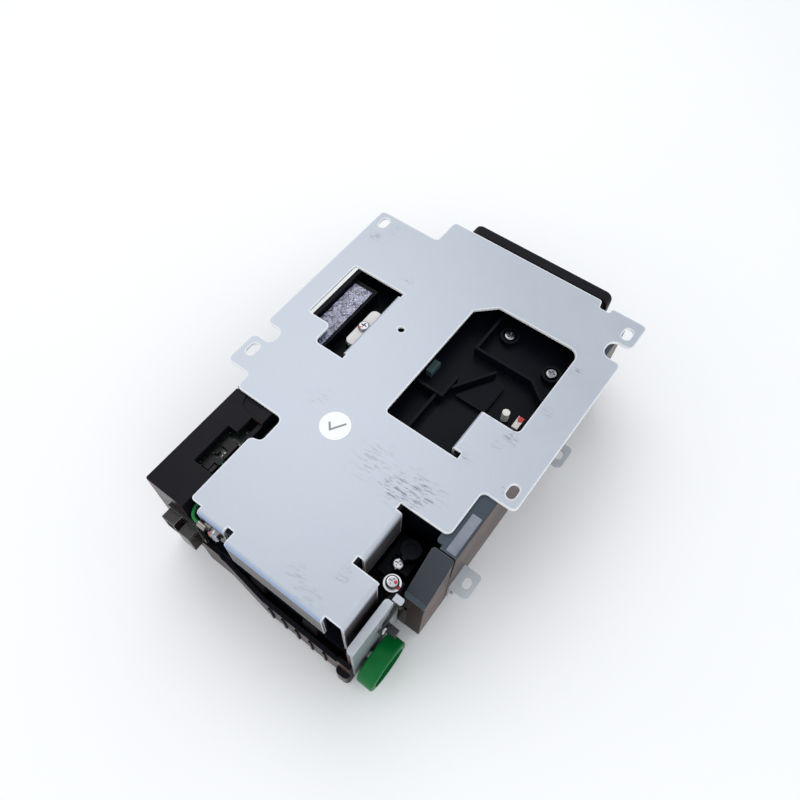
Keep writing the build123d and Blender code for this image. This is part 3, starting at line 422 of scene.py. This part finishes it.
def moulded(name, colour, worn_and_highlight, rough=0.5, pits=2.2, depth=0.25, wear_and_highlight=0.5, dusty=0.1, **constants):
    """Moulded plastic: pitted grain, cloudy tone, paler edges that are partly rubbed wear and partly painted
    edge highlight, and a little dust.
    """
    material, tree, shader = new_finish(name, **constants)
    grain = use(tree, fine_grain, Pits=pits, Clouds=0.07)
    base = mixed(tree, grain["Tone"], shade(colour, 0.75), shade(colour, 1.25))
    # paler edges: partly rubbed wear, partly painted highlight along the edges
    edge = use(tree, edge_wear_and_highlight, Radius=0.3, Gain=3.0, Breakup=0.8, Patch=0.5)["Mask"]
    base = mixed(tree, times(tree, edge, wear_and_highlight), base, (*worn_and_highlight, 1))
    film = use(tree, dust, Amount=dusty, Specks=1.6)["Mask"]
    base = mixed(tree, film, base, (0.15, 0.15, 0.16, 1))
    tree.links.new(base, shader["Base Color"])
    gloss = plus(tree, times(tree, grain["Tone"], 0.18), rough - 0.09)
    tree.links.new(plus(tree, gloss, times(tree, film, 0.3)), shader["Roughness"])
    bump(tree, shader, grain["Height"], depth)
    return material


def metal(name, colour, dark, rough=0.35, lines=1.6, depth=0.15, wear_and_highlight=0.6, metallic=1.0, dabs=(),
          black_from=0.0, **constants):
    """Bare or plated metal: rolled lines, cloudy tone, bright edges of rubbed wear and painted edge
    highlight, fine scratches and red dabs.

    black_from blackens the washer's screw outside that radius.
    """
    material, tree, shader = new_finish(name, **constants)
    sheet = use(tree, rolled_sheet, Lines=lines, Clouds=0.25)
    base = mixed(tree, sheet["Tone"], (*dark, 1), (*colour, 1))
    marks = use(tree, scratches, Turn=0.4, Fineness=1.5, Amount=0.4)["Mask"]
    base = mixed(tree, marks, base, shade(dark, 0.6))
    # bright edges: partly rubbed wear, partly painted highlight along the edges
    edge = use(tree, edge_wear_and_highlight, Radius=0.18, Gain=3.0, Breakup=0.5, Patch=0.8)["Mask"]
    base = mixed(tree, times(tree, edge, wear_and_highlight), base, shade(colour, 1.3))
    # red dabs at the given places, with no metal there
    red_dabs_and_rim = 0.0
    for place in dabs:
        spot = use(tree, soft_patch, Middle=place, Radius=1.5, Ragged=1.2)["Mask"]
        red_dabs_and_rim = maths(tree, "MAXIMUM", red_dabs_and_rim, ramp(tree, spot, 0.25, 0.4))
    base = mixed(tree, red_dabs_and_rim, base, (0.55, 0.01, 0.02, 1))
    if black_from:
        low, high = (np.array(corner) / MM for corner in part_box("screw_washer"))
        shift = (*-(low + high)[:2] / 2, 0)
        sockets = {"Vector": place_mm(tree), "Location": shift, "Scale": (1, 1, 0)}
        where = put(tree, "Mapping", sockets).outputs[0]
        out = put(tree, "VectorMath", {0: where}, operation="LENGTH").outputs["Value"]
        rim = ramp(tree, out, black_from, black_from + 0.1)
        base = mixed(tree, rim, base, (0.008, 0.008, 0.010, 1))
        red_dabs_and_rim = maths(tree, "MAXIMUM", red_dabs_and_rim, rim)
    tree.links.new(base, shader["Base Color"])
    tree.links.new(times(tree, rest(tree, red_dabs_and_rim), metallic), shader["Metallic"])
    set_rough(tree, shader, sheet["Lines"], 0.2, rough - 0.1)
    bump(tree, shader, sheet["Height"], depth, 0.05)
    return material


def rubber(name, colour, rough=0.75):
    """Ground rubber: fine grain, glazed in clouds."""
    return moulded(name, colour, shade(colour, 1.8)[:3], rough, 4.0, 0.5, 0.3, 0.1)


SMUDGES = (                      # middle x, y, radius and darkness of the marks rubbed into the plate
    (50.0, -62.0, 13.0, 0.80), (58.0, -58.0, 8.0, 0.55), (43.0, -66.0, 7.0, 0.60), (74.0, 28.0, 4.0, 0.60),
    (75.0, 2.0, 4.0, 0.45), (68.5, -17.0, 5.5, 0.75), (66.0, -24.0, 3.5, 0.80), (-44.0, 38.0, 4.5, 0.60),
    (-40.0, 47.0, 4.5, 0.45), (30.0, -60.0, 14.0, 0.30), (57.5, -15.0, 1.3, 0.95), (37.0, -116.0, 8.0, 0.30),
    (50.0, -104.0, 5.0, 0.45), (-6.0, -50.0, 10.0, 0.16), (58.0, -36.0, 6.0, 0.35), (-14.0, 25.0, 3.5, 0.35),
    (80.0, -38.0, 3.5, 0.50), (46.0, -118.0, 7.0, 0.25),
)


def plate_finish():
    """Zinc-plated sheet: satin blue-grey faces, a painted white highlight on its edges and cut faces, rubbed
    marks, a painted blue reflection on the rear bend, and painted shade and brown reflection on the folded
    flanges.
    """
    material, tree, shader = new_finish("zinc_sheet")
    sheet = use(tree, rolled_sheet, Lines=1.4, Clouds=0.03)
    base = mixed(tree, sheet["Tone"], (0.385, 0.43, 0.49, 1), (0.49, 0.525, 0.585, 1))
    base = mixed(tree, times(tree, sheet["Lines"], 0.12), base, (0.62, 0.64, 0.67, 1))
    long_marks = use(tree, scratches, Turn=1.1, Fineness=1.6, Amount=0.14)["Mask"]
    base = mixed(tree, long_marks, base, (0.24, 0.26, 0.30, 1))
    streak = noise(tree, place_mm(tree, (0.22, 1.0, 1), -0.12), 0.75, 6.0, 0.75)
    streak = ramp(tree, streak, 0.49, 0.60)
    for x, y, radius, darkness in SMUDGES:
        patch = use(tree, soft_patch, Middle=(x, y, 0), Radius=radius, Ragged=0.9)["Mask"]
        dark = times(tree, times(tree, patch, streak), darkness)
        base = mixed(tree, dark, base, (0.055, 0.068, 0.095, 1))
    height = axes(tree, place_mm(tree))[2]
    facing = facing_axes(tree)
    rearward = rear_share(tree, facing, 0.3, 0.8)
    along = axes(tree, place_mm(tree))[1]
    at_rear = rest(tree, ramp(tree, along, *REAR_BEND_Y))
    bend = times(tree, times(tree, rearward, at_rear), ramp(tree, height, *REAR_BEND_Z))
    upright = rest(tree, ramp(tree, maths(tree, "ABSOLUTE", facing[2]), 0.1, 0.5))
    # painted highlight: the upright cut faces at the top are painted near-white
    cut = times(tree, upright, ramp(tree, height, *CUT_EDGE_Z))
    cut = times(tree, cut, rest(tree, bend))
    # painted blue reflection on the rear-facing bend
    base = mixed(tree, times(tree, bend, 0.75), base, (0.20, 0.34, 0.58, 1))
    # painted shade and dark brown reflection on the folded flanges, darker in streaks
    low = rest(tree, ramp(tree, height, *FLANGE_Z))
    darker_reflection_streaks = ramp(tree, noise(tree, place_mm(tree, (0.4, 1, 1.6)), 0.5, 5.0, 0.75), 0.5, 0.75)
    brown = mixed(tree, darker_reflection_streaks, (0.062, 0.048, 0.048, 1), (0.022, 0.019, 0.021, 1))
    base = mixed(tree, times(tree, low, 0.92), base, brown)
    # painted highlight: near-white rims and cut faces, with the metal taken out there
    edge = use(tree, edge_wear_and_highlight, Radius=1.1, Gain=12.0, Breakup=0.25, Patch=0.4)["Mask"]
    edge = maths(tree, "MAXIMUM", times(tree, edge, 0.9), cut)
    base = mixed(tree, edge, base, (0.96, 0.965, 0.97, 1))
    tree.links.new(base, shader["Base Color"])
    bright = minus(tree, 0.32, times(tree, low, 0.27))
    tree.links.new(times(tree, bright, rest(tree, edge)), shader["Metallic"])
    set_rough(tree, shader, sheet["Tone"], 0.16, 0.34)
    bump(tree, shader, sheet["Height"], 0.12, 0.05)
    return material


def cover_finish():
    """Black cover plastic: a painted slate-blue reflection on top, and a painted warm brown reflection on its
    outer side.
    """
    material, tree, shader = new_finish("cover_plastic", Specular_IOR_Level=0.14)
    grain = use(tree, fine_grain, Pits=2.6, Clouds=0.05)
    # painted reflection: slate-blue on the top faces
    top = mixed(tree, grain["Tone"], (0.040, 0.054, 0.070, 1), (0.066, 0.086, 0.108, 1))
    where = axes(tree, place_mm(tree))
    along = ramp(tree, where[1], *COVER_Y)
    # painted warm brown reflection on the outer side, darker in clouds
    side = mixed(tree, along, (0.085, 0.036, 0.024, 1), (0.055, 0.026, 0.018, 1))
    cloud = noise(tree, place_mm(tree), 0.045, 4.0, 0.6, 0.6)
    side = mixed(tree, ramp(tree, cloud, 0.35, 0.75), side, (0.040, 0.021, 0.017, 1))
    facing = facing_axes(tree)
    outward = ramp(tree, facing[0], 0.55, 0.9)
    rearward = rear_share(tree, facing, 0.55, 0.9)
    base = mixed(tree, outward, top, side)
    # painted darker brown reflection on rear faces
    base = mixed(tree, rearward, base, (0.032, 0.018, 0.012, 1))
    # painted highlight: pale lines along the edges
    edge = use(tree, edge_wear_and_highlight, Radius=0.5, Gain=3.0, Breakup=0.7, Patch=0.35)["Mask"]
    base = mixed(tree, times(tree, edge, 0.35), base, (0.36, 0.36, 0.38, 1))
    marks = use(tree, scratches, Turn=0.2, Fineness=1.1, Amount=0.18)["Mask"]
    base = mixed(tree, marks, base, (0.30, 0.24, 0.22, 1))
    tree.links.new(base, shader["Base Color"])
    rough = minus(tree, 0.42, times(tree, outward, 0.14))
    tree.links.new(plus(tree, rough, times(tree, grain["Tone"], 0.1)), shader["Roughness"])
    bump(tree, shader, grain["Height"], 0.12)
    return material


def casing_finish():
    """Black casing plastic: matt faces, and a glossy rear wall with painted orange-brown reflections in
    streaks.
    """
    material, tree, shader = new_finish("black_casing", Specular_IOR_Level=0.10)
    grain = use(tree, fine_grain, Pits=2.2, Clouds=0.05)
    base = mixed(tree, grain["Tone"], (0.0045, 0.0045, 0.0075, 1), (0.0095, 0.0095, 0.0140, 1))
    facing = facing_axes(tree)
    rearward = rear_share(tree, facing, 0.4, 0.9)
    # painted orange-brown reflection in streaks on rear faces
    streak = noise(tree, place_mm(tree, (0.25, 1, 1.5)), 0.22, 4.0, 0.6, 0.8)
    warm = times(tree, ramp(tree, streak, 0.46, 0.60), rearward)
    base = mixed(tree, times(tree, warm, 0.9), base, (0.080, 0.028, 0.013, 1))
    # paler edges: rubbed wear and painted highlight along the edges
    edge = use(tree, edge_wear_and_highlight, Radius=0.35, Gain=3.0, Breakup=0.75, Patch=0.5)["Mask"]
    base = mixed(tree, times(tree, edge, 0.4), base, (0.065, 0.065, 0.080, 1))
    film = use(tree, dust, Amount=0.05, Specks=1.8)["Mask"]
    base = mixed(tree, film, base, (0.14, 0.14, 0.15, 1))
    tree.links.new(base, shader["Base Color"])
    rough = plus(tree, times(tree, grain["Tone"], 0.15), 0.42)
    tree.links.new(minus(tree, rough, times(tree, rearward, 0.2)), shader["Roughness"])
    bump(tree, shader, grain["Height"], 0.2)
    return material


def plug_finish():
    """Small nylon plugs: ivory and white, one teal, one dabbed with red."""
    material, tree, shader = new_finish("plug_nylon", Specular_IOR_Level=0.5)
    where = axes(tree, place_mm(tree))
    tone = noise(tree, place_mm(tree), 0.8, 3.0)
    base = mixed(tree, tone, (0.62, 0.60, 0.56, 1), (0.80, 0.79, 0.76, 1))
    teal = rest(tree, ramp(tree, where[0], *TEAL_PLUG_X))
    base = mixed(tree, teal, base, (0.055, 0.095, 0.105, 1))
    red = use(tree, soft_patch, Middle=RED_PLUG, Radius=2.6, Ragged=1.0)["Mask"]
    base = mixed(tree, ramp(tree, red, 0.2, 0.4), base, (0.50, 0.02, 0.02, 1))
    tree.links.new(base, shader["Base Color"])
    set_rough(tree, shader, tone, 0.2, 0.3)
    bump(tree, shader, tone, 0.1)
    return material


def board_finish(name, dark, track):
    """Circuit board: lacquered, with copper tracks and pale pads."""
    material, tree, shader = new_finish(name, Coat_Weight=0.3, Coat_Roughness=0.2)
    where = place_mm(tree)
    sockets = {"Vector": where, "Scale": 0.35, "Mortar Size": 0.03, "Color1": (0, 0, 0, 1),
               "Color2": (0.2, 0.2, 0.2, 1), "Mortar": (1, 1, 1, 1)}
    lines = put(tree, "TexBrick", sockets).outputs[0]
    dots = put(tree, "TexVoronoi", {"Vector": where, "Scale": 0.42}).outputs["Distance"]
    pads = rest(tree, ramp(tree, dots, 0.10, 0.14))
    base = mixed(tree, lines, (*dark, 1), (*track, 1))
    base = mixed(tree, pads, base, (0.62, 0.60, 0.50, 1))
    tree.links.new(base, shader["Base Color"])
    tree.links.new(times(tree, pads, 0.9), shader["Metallic"])
    set_rough(tree, shader, noise(tree, where, 0.5), 0.2, 0.3)
    bump(tree, shader, lines, 0.3, 0.05)
    return material


def connector_finish():
    """Dark brown-black connector plastic with painted pale highlight lines on its edges, and pale, tin-bright
    contacts in the header.
    """
    material, tree, shader = new_finish("connector_nylon", Specular_IOR_Level=0.4)
    grain = use(tree, fine_grain, Pits=2.5, Clouds=0.3)
    base = mixed(tree, grain["Tone"], (0.006, 0.004, 0.004, 1), (0.022, 0.014, 0.012, 1))
    # painted highlight: pale lines along the edges
    edge = use(tree, edge_wear_and_highlight, Radius=0.35, Gain=6.0, Breakup=0.6, Patch=0.5)["Mask"]
    base = mixed(tree, times(tree, edge, 0.85), base, (0.55, 0.52, 0.52, 1))
    low, high = (np.array(corner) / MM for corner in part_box("interface_connector"))
    middle = (low + high) / 2
    where = axes(tree, place_mm(tree))
    inside = within(tree, where[0], middle[0], PINS_REACH)
    pins = 0.0
    for height in (high[2] - PIN_INSET, low[2] + PIN_INSET):
        row = within(tree, where[2], height, PIN_HALF)
        pins = maths(tree, "MAXIMUM", pins, row)
    pins = times(tree, pins, inside)
    base = mixed(tree, pins, base, (0.75, 0.73, 0.70, 1))
    tree.links.new(base, shader["Base Color"])
    tree.links.new(times(tree, pins, 0.6), shader["Metallic"])
    set_rough(tree, shader, grain["Tone"], 0.15, 0.2)
    bump(tree, shader, grain["Height"], 0.15)
    return material


def film_finish():
    """Crinkled shiny film cable, purple-grey with white glints and fine conductors along it."""
    material, tree, shader = new_finish("cable_film", Coat_Weight=1.0, Coat_Roughness=0.05,
                                        Specular_IOR_Level=0.8)
    where = place_mm(tree)
    across = axes(tree, where)[0]
    wires = maths(tree, "SINE", times(tree, across, WIRE_WAVES))
    tone = noise(tree, where, 0.35, 5.0, 0.7, 1.5)
    base = mixed(tree, ramp(tree, tone, 0.42, 0.56), (0.030, 0.026, 0.075, 1), (0.30, 0.31, 0.48, 1))
    glint = ramp(tree, noise(tree, where, 0.8, 4.0, 0.7, 2.0), 0.55, 0.62)
    front = ramp(tree, axes(tree, where)[1], *GLINT_Y)
    base = mixed(tree, times(tree, glint, front), base, (0.88, 0.90, 0.97, 1))
    base = mixed(tree, times(tree, ramp(tree, wires, 0.2, 0.9), 0.3), base, (0.05, 0.05, 0.08, 1))
    tree.links.new(base, shader["Base Color"])
    set_rough(tree, shader, tone, 0.25, 0.1)
    bump(tree, shader, noise(tree, where, 1.1, 4.0, 0.6, 1.0), 0.9, 0.6)
    return material


def stroke(tree, start, end, half):
    """1 on a straight pen stroke between two points (x, y) in millimetres, 0 off it."""
    length = math.dist(start, end)
    along = ((end[0] - start[0]) / length, (end[1] - start[1]) / length, 0)
    offset = put(tree, "VectorMath", {0: place_mm(tree), 1: (*start, 0)}, operation="SUBTRACT").outputs[0]
    run = put(tree, "VectorMath", {0: offset, 1: along}, operation="DOT_PRODUCT").outputs["Value"]
    across = (-along[1], along[0], 0)
    side = put(tree, "VectorMath", {0: offset, 1: across}, operation="DOT_PRODUCT").outputs["Value"]
    on_length = within(tree, run, length / 2, length / 2 + half)
    return times(tree, on_length, within(tree, side, 0.0, half))


def label_finish():
    """White label paper with faint fibres and a tick in dark ink."""
    material, tree, shader = new_finish("label_paper", Roughness=0.62)
    where = place_mm(tree)
    fibre = noise(tree, where, 3.0, 4.0, 0.7)
    base = mixed(tree, fibre, (0.86, 0.87, 0.86, 1), (0.95, 0.95, 0.94, 1))
    start, corner, end = TICK
    down, rise = stroke(tree, start, corner, TICK_HALF), stroke(tree, corner, end, TICK_HALF)
    ink = maths(tree, "MAXIMUM", down, rise)
    base = mixed(tree, times(tree, ink, 0.8), base, (0.10, 0.10, 0.14, 1))
    tree.links.new(base, shader["Base Color"])
    bump(tree, shader, fibre, 0.2, 0.03)
    return material


def clear_finish():
    """Clear plastic strip with a blue sheen."""
    material, tree, shader = new_finish("clear_film", Transmission_Weight=0.6, IOR=1.45)
    tone = noise(tree, place_mm(tree), 0.25, 3.0)
    base = mixed(tree, tone, (0.28, 0.33, 0.44, 1), (0.55, 0.62, 0.74, 1))
    tree.links.new(base, shader["Base Color"])
    set_rough(tree, shader, tone, 0.15, 0.05)
    return material


def paint_nodes():
    """Give every CAD node its finish."""
    washer_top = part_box("screw_washer")[1]
    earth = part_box("earth_screw")
    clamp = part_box("cable_clamp")[1]
    dabs = [(washer_top.x / MM - 0.6, washer_top.y / MM - 3.6, washer_top.z / MM),
            (washer_top.x / MM - 2.4, washer_top.y / MM - 3.2, washer_top.z / MM + 1.6),
            (earth[0].x / MM + 1.8, earth[0].y / MM + 0.4, earth[1].z / MM - 1.2),
            (clamp.x / MM - 3.6, clamp.y / MM - 12.8, clamp.z / MM + 1.0)]
    # inner black parts darker than the plastic: painted shade of the recess seen through the window; their
    # paler edges are painted highlight on the ribs
    inner = moulded("black_frame", (0.0032, 0.0042, 0.0072), (0.045, 0.052, 0.068), 0.42, 1.8, 0.2, 0.7, 0.03,
                    Specular_IOR_Level=0.07)
    bracket = metal("zinc_bracket", (0.50, 0.53, 0.57), (0.34, 0.37, 0.41), 0.32, metallic=0.5, wear_and_highlight=0.8)
    # a lighter copy of the bracket zinc: painted light on the side tabs, which sit low in shade
    lightened_tabs = metal("zinc_tabs_lightened", (0.68, 0.71, 0.75), (0.52, 0.55, 0.59), 0.34, metallic=0.2, wear_and_highlight=1.0)
    steel = metal("shaft_steel", (0.66, 0.67, 0.69), (0.48, 0.49, 0.52), 0.22, 3.0)
    screws = metal("screw_steel", (0.50, 0.50, 0.53), (0.16, 0.16, 0.18), 0.18, 2.5, 0.1, 0.5, dabs=dabs)
    ringed = metal("washer_screw_steel", (0.62, 0.62, 0.65), (0.25, 0.25, 0.27), 0.18, 2.5, 0.1, 0.5,
                   dabs=dabs, black_from=WASHER_SCREW_R)
    washer = metal("washer_zinc", (0.85, 0.85, 0.87), (0.70, 0.70, 0.73), 0.30, 2.5, 0.1, 0.3, 0.3, dabs=dabs)
    tinned = metal("tinned_brass", (0.46, 0.42, 0.38), (0.20, 0.18, 0.17), 0.28, 2.5, 0.2)
    bronze = metal("bush_bronze", (0.58, 0.40, 0.20), (0.40, 0.26, 0.13), 0.40, 2.0)
    can = metal("motor_can", (0.50, 0.51, 0.53), (0.36, 0.37, 0.39), 0.30, 1.2)
    tyres = rubber("roller_rubber", (0.030, 0.030, 0.032))
    grey = rubber("grey_rubber", (0.16, 0.16, 0.17))
    belts = rubber("belt_rubber", (0.022, 0.021, 0.020), 0.65)
    pulleys = moulded("pulley_plastic", (0.62, 0.60, 0.55), (0.80, 0.78, 0.74), 0.4, 2.0, 0.1, 0.3)
    shutter = moulded("shutter_plastic", (0.018, 0.018, 0.020), (0.10, 0.10, 0.11), 0.35, 2.0, 0.15)
    green = moulded("wheel_green", (0.000, 0.135, 0.026), (0.01, 0.24, 0.07), 0.40, 1.6, 0.10, 0.3, 0.0,
                    Specular_IOR_Level=0.16)
    wire = moulded("wire_green", (0.000, 0.150, 0.028), (0.03, 0.26, 0.08), 0.38, 3.0, 0.1, 0.2, 0.0)
    chips = moulded("chip_black", (0.006, 0.006, 0.008), (0.07, 0.07, 0.08), 0.38, 3.5, 0.2, 0.4, 0.05,
                    Specular_IOR_Level=0.2)
    nylon = connector_finish()
    pale = moulded("pale_plastic", (0.66, 0.64, 0.63), (0.90, 0.90, 0.88), 0.35, 2.0, 0.1, 0.5, 0.1)
    lines = ("front", "middle", "rear")
    table = {
        plate_finish(): ["mounting_plate"],
        bracket: ["wheel_bracket", "motor_plate", "pressure_springs"],
        lightened_tabs: ["front_side_bracket", "rear_side_bracket"],
        casing_finish(): ["lower_chassis", "left_housing", "bezel"],
        cover_finish(): ["right_cover", "drive_cover"],
        inner: ["upper_frame", "sensor_carrier", "lower_note_guide", "upper_note_guide", "upper_sensor_bar",
                "lower_sensor_bar"],
        steel: [f"{line}_drive_shaft" for line in lines] + ["motor_pinion", "lever_pin", "solenoid_plunger"],
        screws: ["frame_screws", "bracket_screws", "earth_screw"],
        ringed: ["washer_screw"],
        washer: ["screw_washer"],
        tinned: ["ring_terminal"],
        tyres: [f"{line}_drive_rollers" for line in lines],
        grey: [f"{line}_pressure_roller" for line in lines],
        pulleys: ["front_pulley", "middle_pulleys", "rear_pulley", "drive_gear"],
        belts: ["front_belt", "rear_belt"],
        bronze: ["shaft_bushes"],
        can: ["motor", "gate_solenoid"],
        shutter: ["entry_shutter", "lock_lever"],
        green: ["hand_wheel"],
        wire: ["earth_wire"],
        board_finish("board_green", (0.012, 0.085, 0.035), (0.03, 0.19, 0.08)): ["main_board"],
        board_finish("board_dark", (0.001, 0.004, 0.003), (0.003, 0.012, 0.009)): ["housing_board",
                                                                                   "connector_board"],
        chips: ["board_parts", "housing_parts"],
        nylon: ["power_connector", "interface_connector"],
        pale: ["cable_clamp", "flat_cable"],
        plug_finish(): ["small_plugs"],
        clear_finish(): ["clear_strip"],
        label_finish(): ["inspection_label"],
    }
    for material, names in table.items():
        for name in names:
            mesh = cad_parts[name].data
            mesh.materials.clear()
            mesh.materials.append(material)
    bare = [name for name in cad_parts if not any(name in names for names in table.values())]
    if bare:
        raise ValueError(f"no finish for {bare}")


# ---- pieces made here ------------------------------------------------------------------------
def folds(u, v, seed, waves):
    """Crumpled height between -1 and 1: a sum of triangle waves that run in turned directions."""
    chance = np.random.default_rng(seed)
    height = np.zeros_like(u)
    for length in waves:
        turn, phase = chance.uniform(0, math.pi), chance.uniform(0, 1)
        step = (u * math.cos(turn) + v * math.sin(turn)) / length + phase
        height += (2 * np.abs(2 * (step - np.floor(step)) - 1) - 1) * length
    return height / sum(waves)


def add_film():
    """Crumpled film cable in place of the plain CAD one: a flat grid, raised by crossing folds."""
    low, high = (np.array(corner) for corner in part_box("flat_cable"))
    across = np.linspace(low[0], high[0], FILM_CELLS[0])
    along = np.linspace(low[1], high[1], FILM_CELLS[1])
    u, v = np.meshgrid(across, along, indexing="ij")
    crumple = folds(u / MM, v / MM, FOLD_SEED, FOLD_WAVES)
    thick = FILM_THICK * MM
    middle = (low[2] + high[2]) / 2
    half = (high[2] - low[2]) / 2 - thick
    height = middle + half * np.clip(FOLD_GAIN * crumple, -1, 1)
    film = surface("film_cable", np.dstack([u, v, height]), thickness=thick)
    film.data.materials.append(film_finish())
    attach(film, "casing")
    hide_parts("flat_cable")


add_camera()
add_room()
paint_nodes()
add_film()
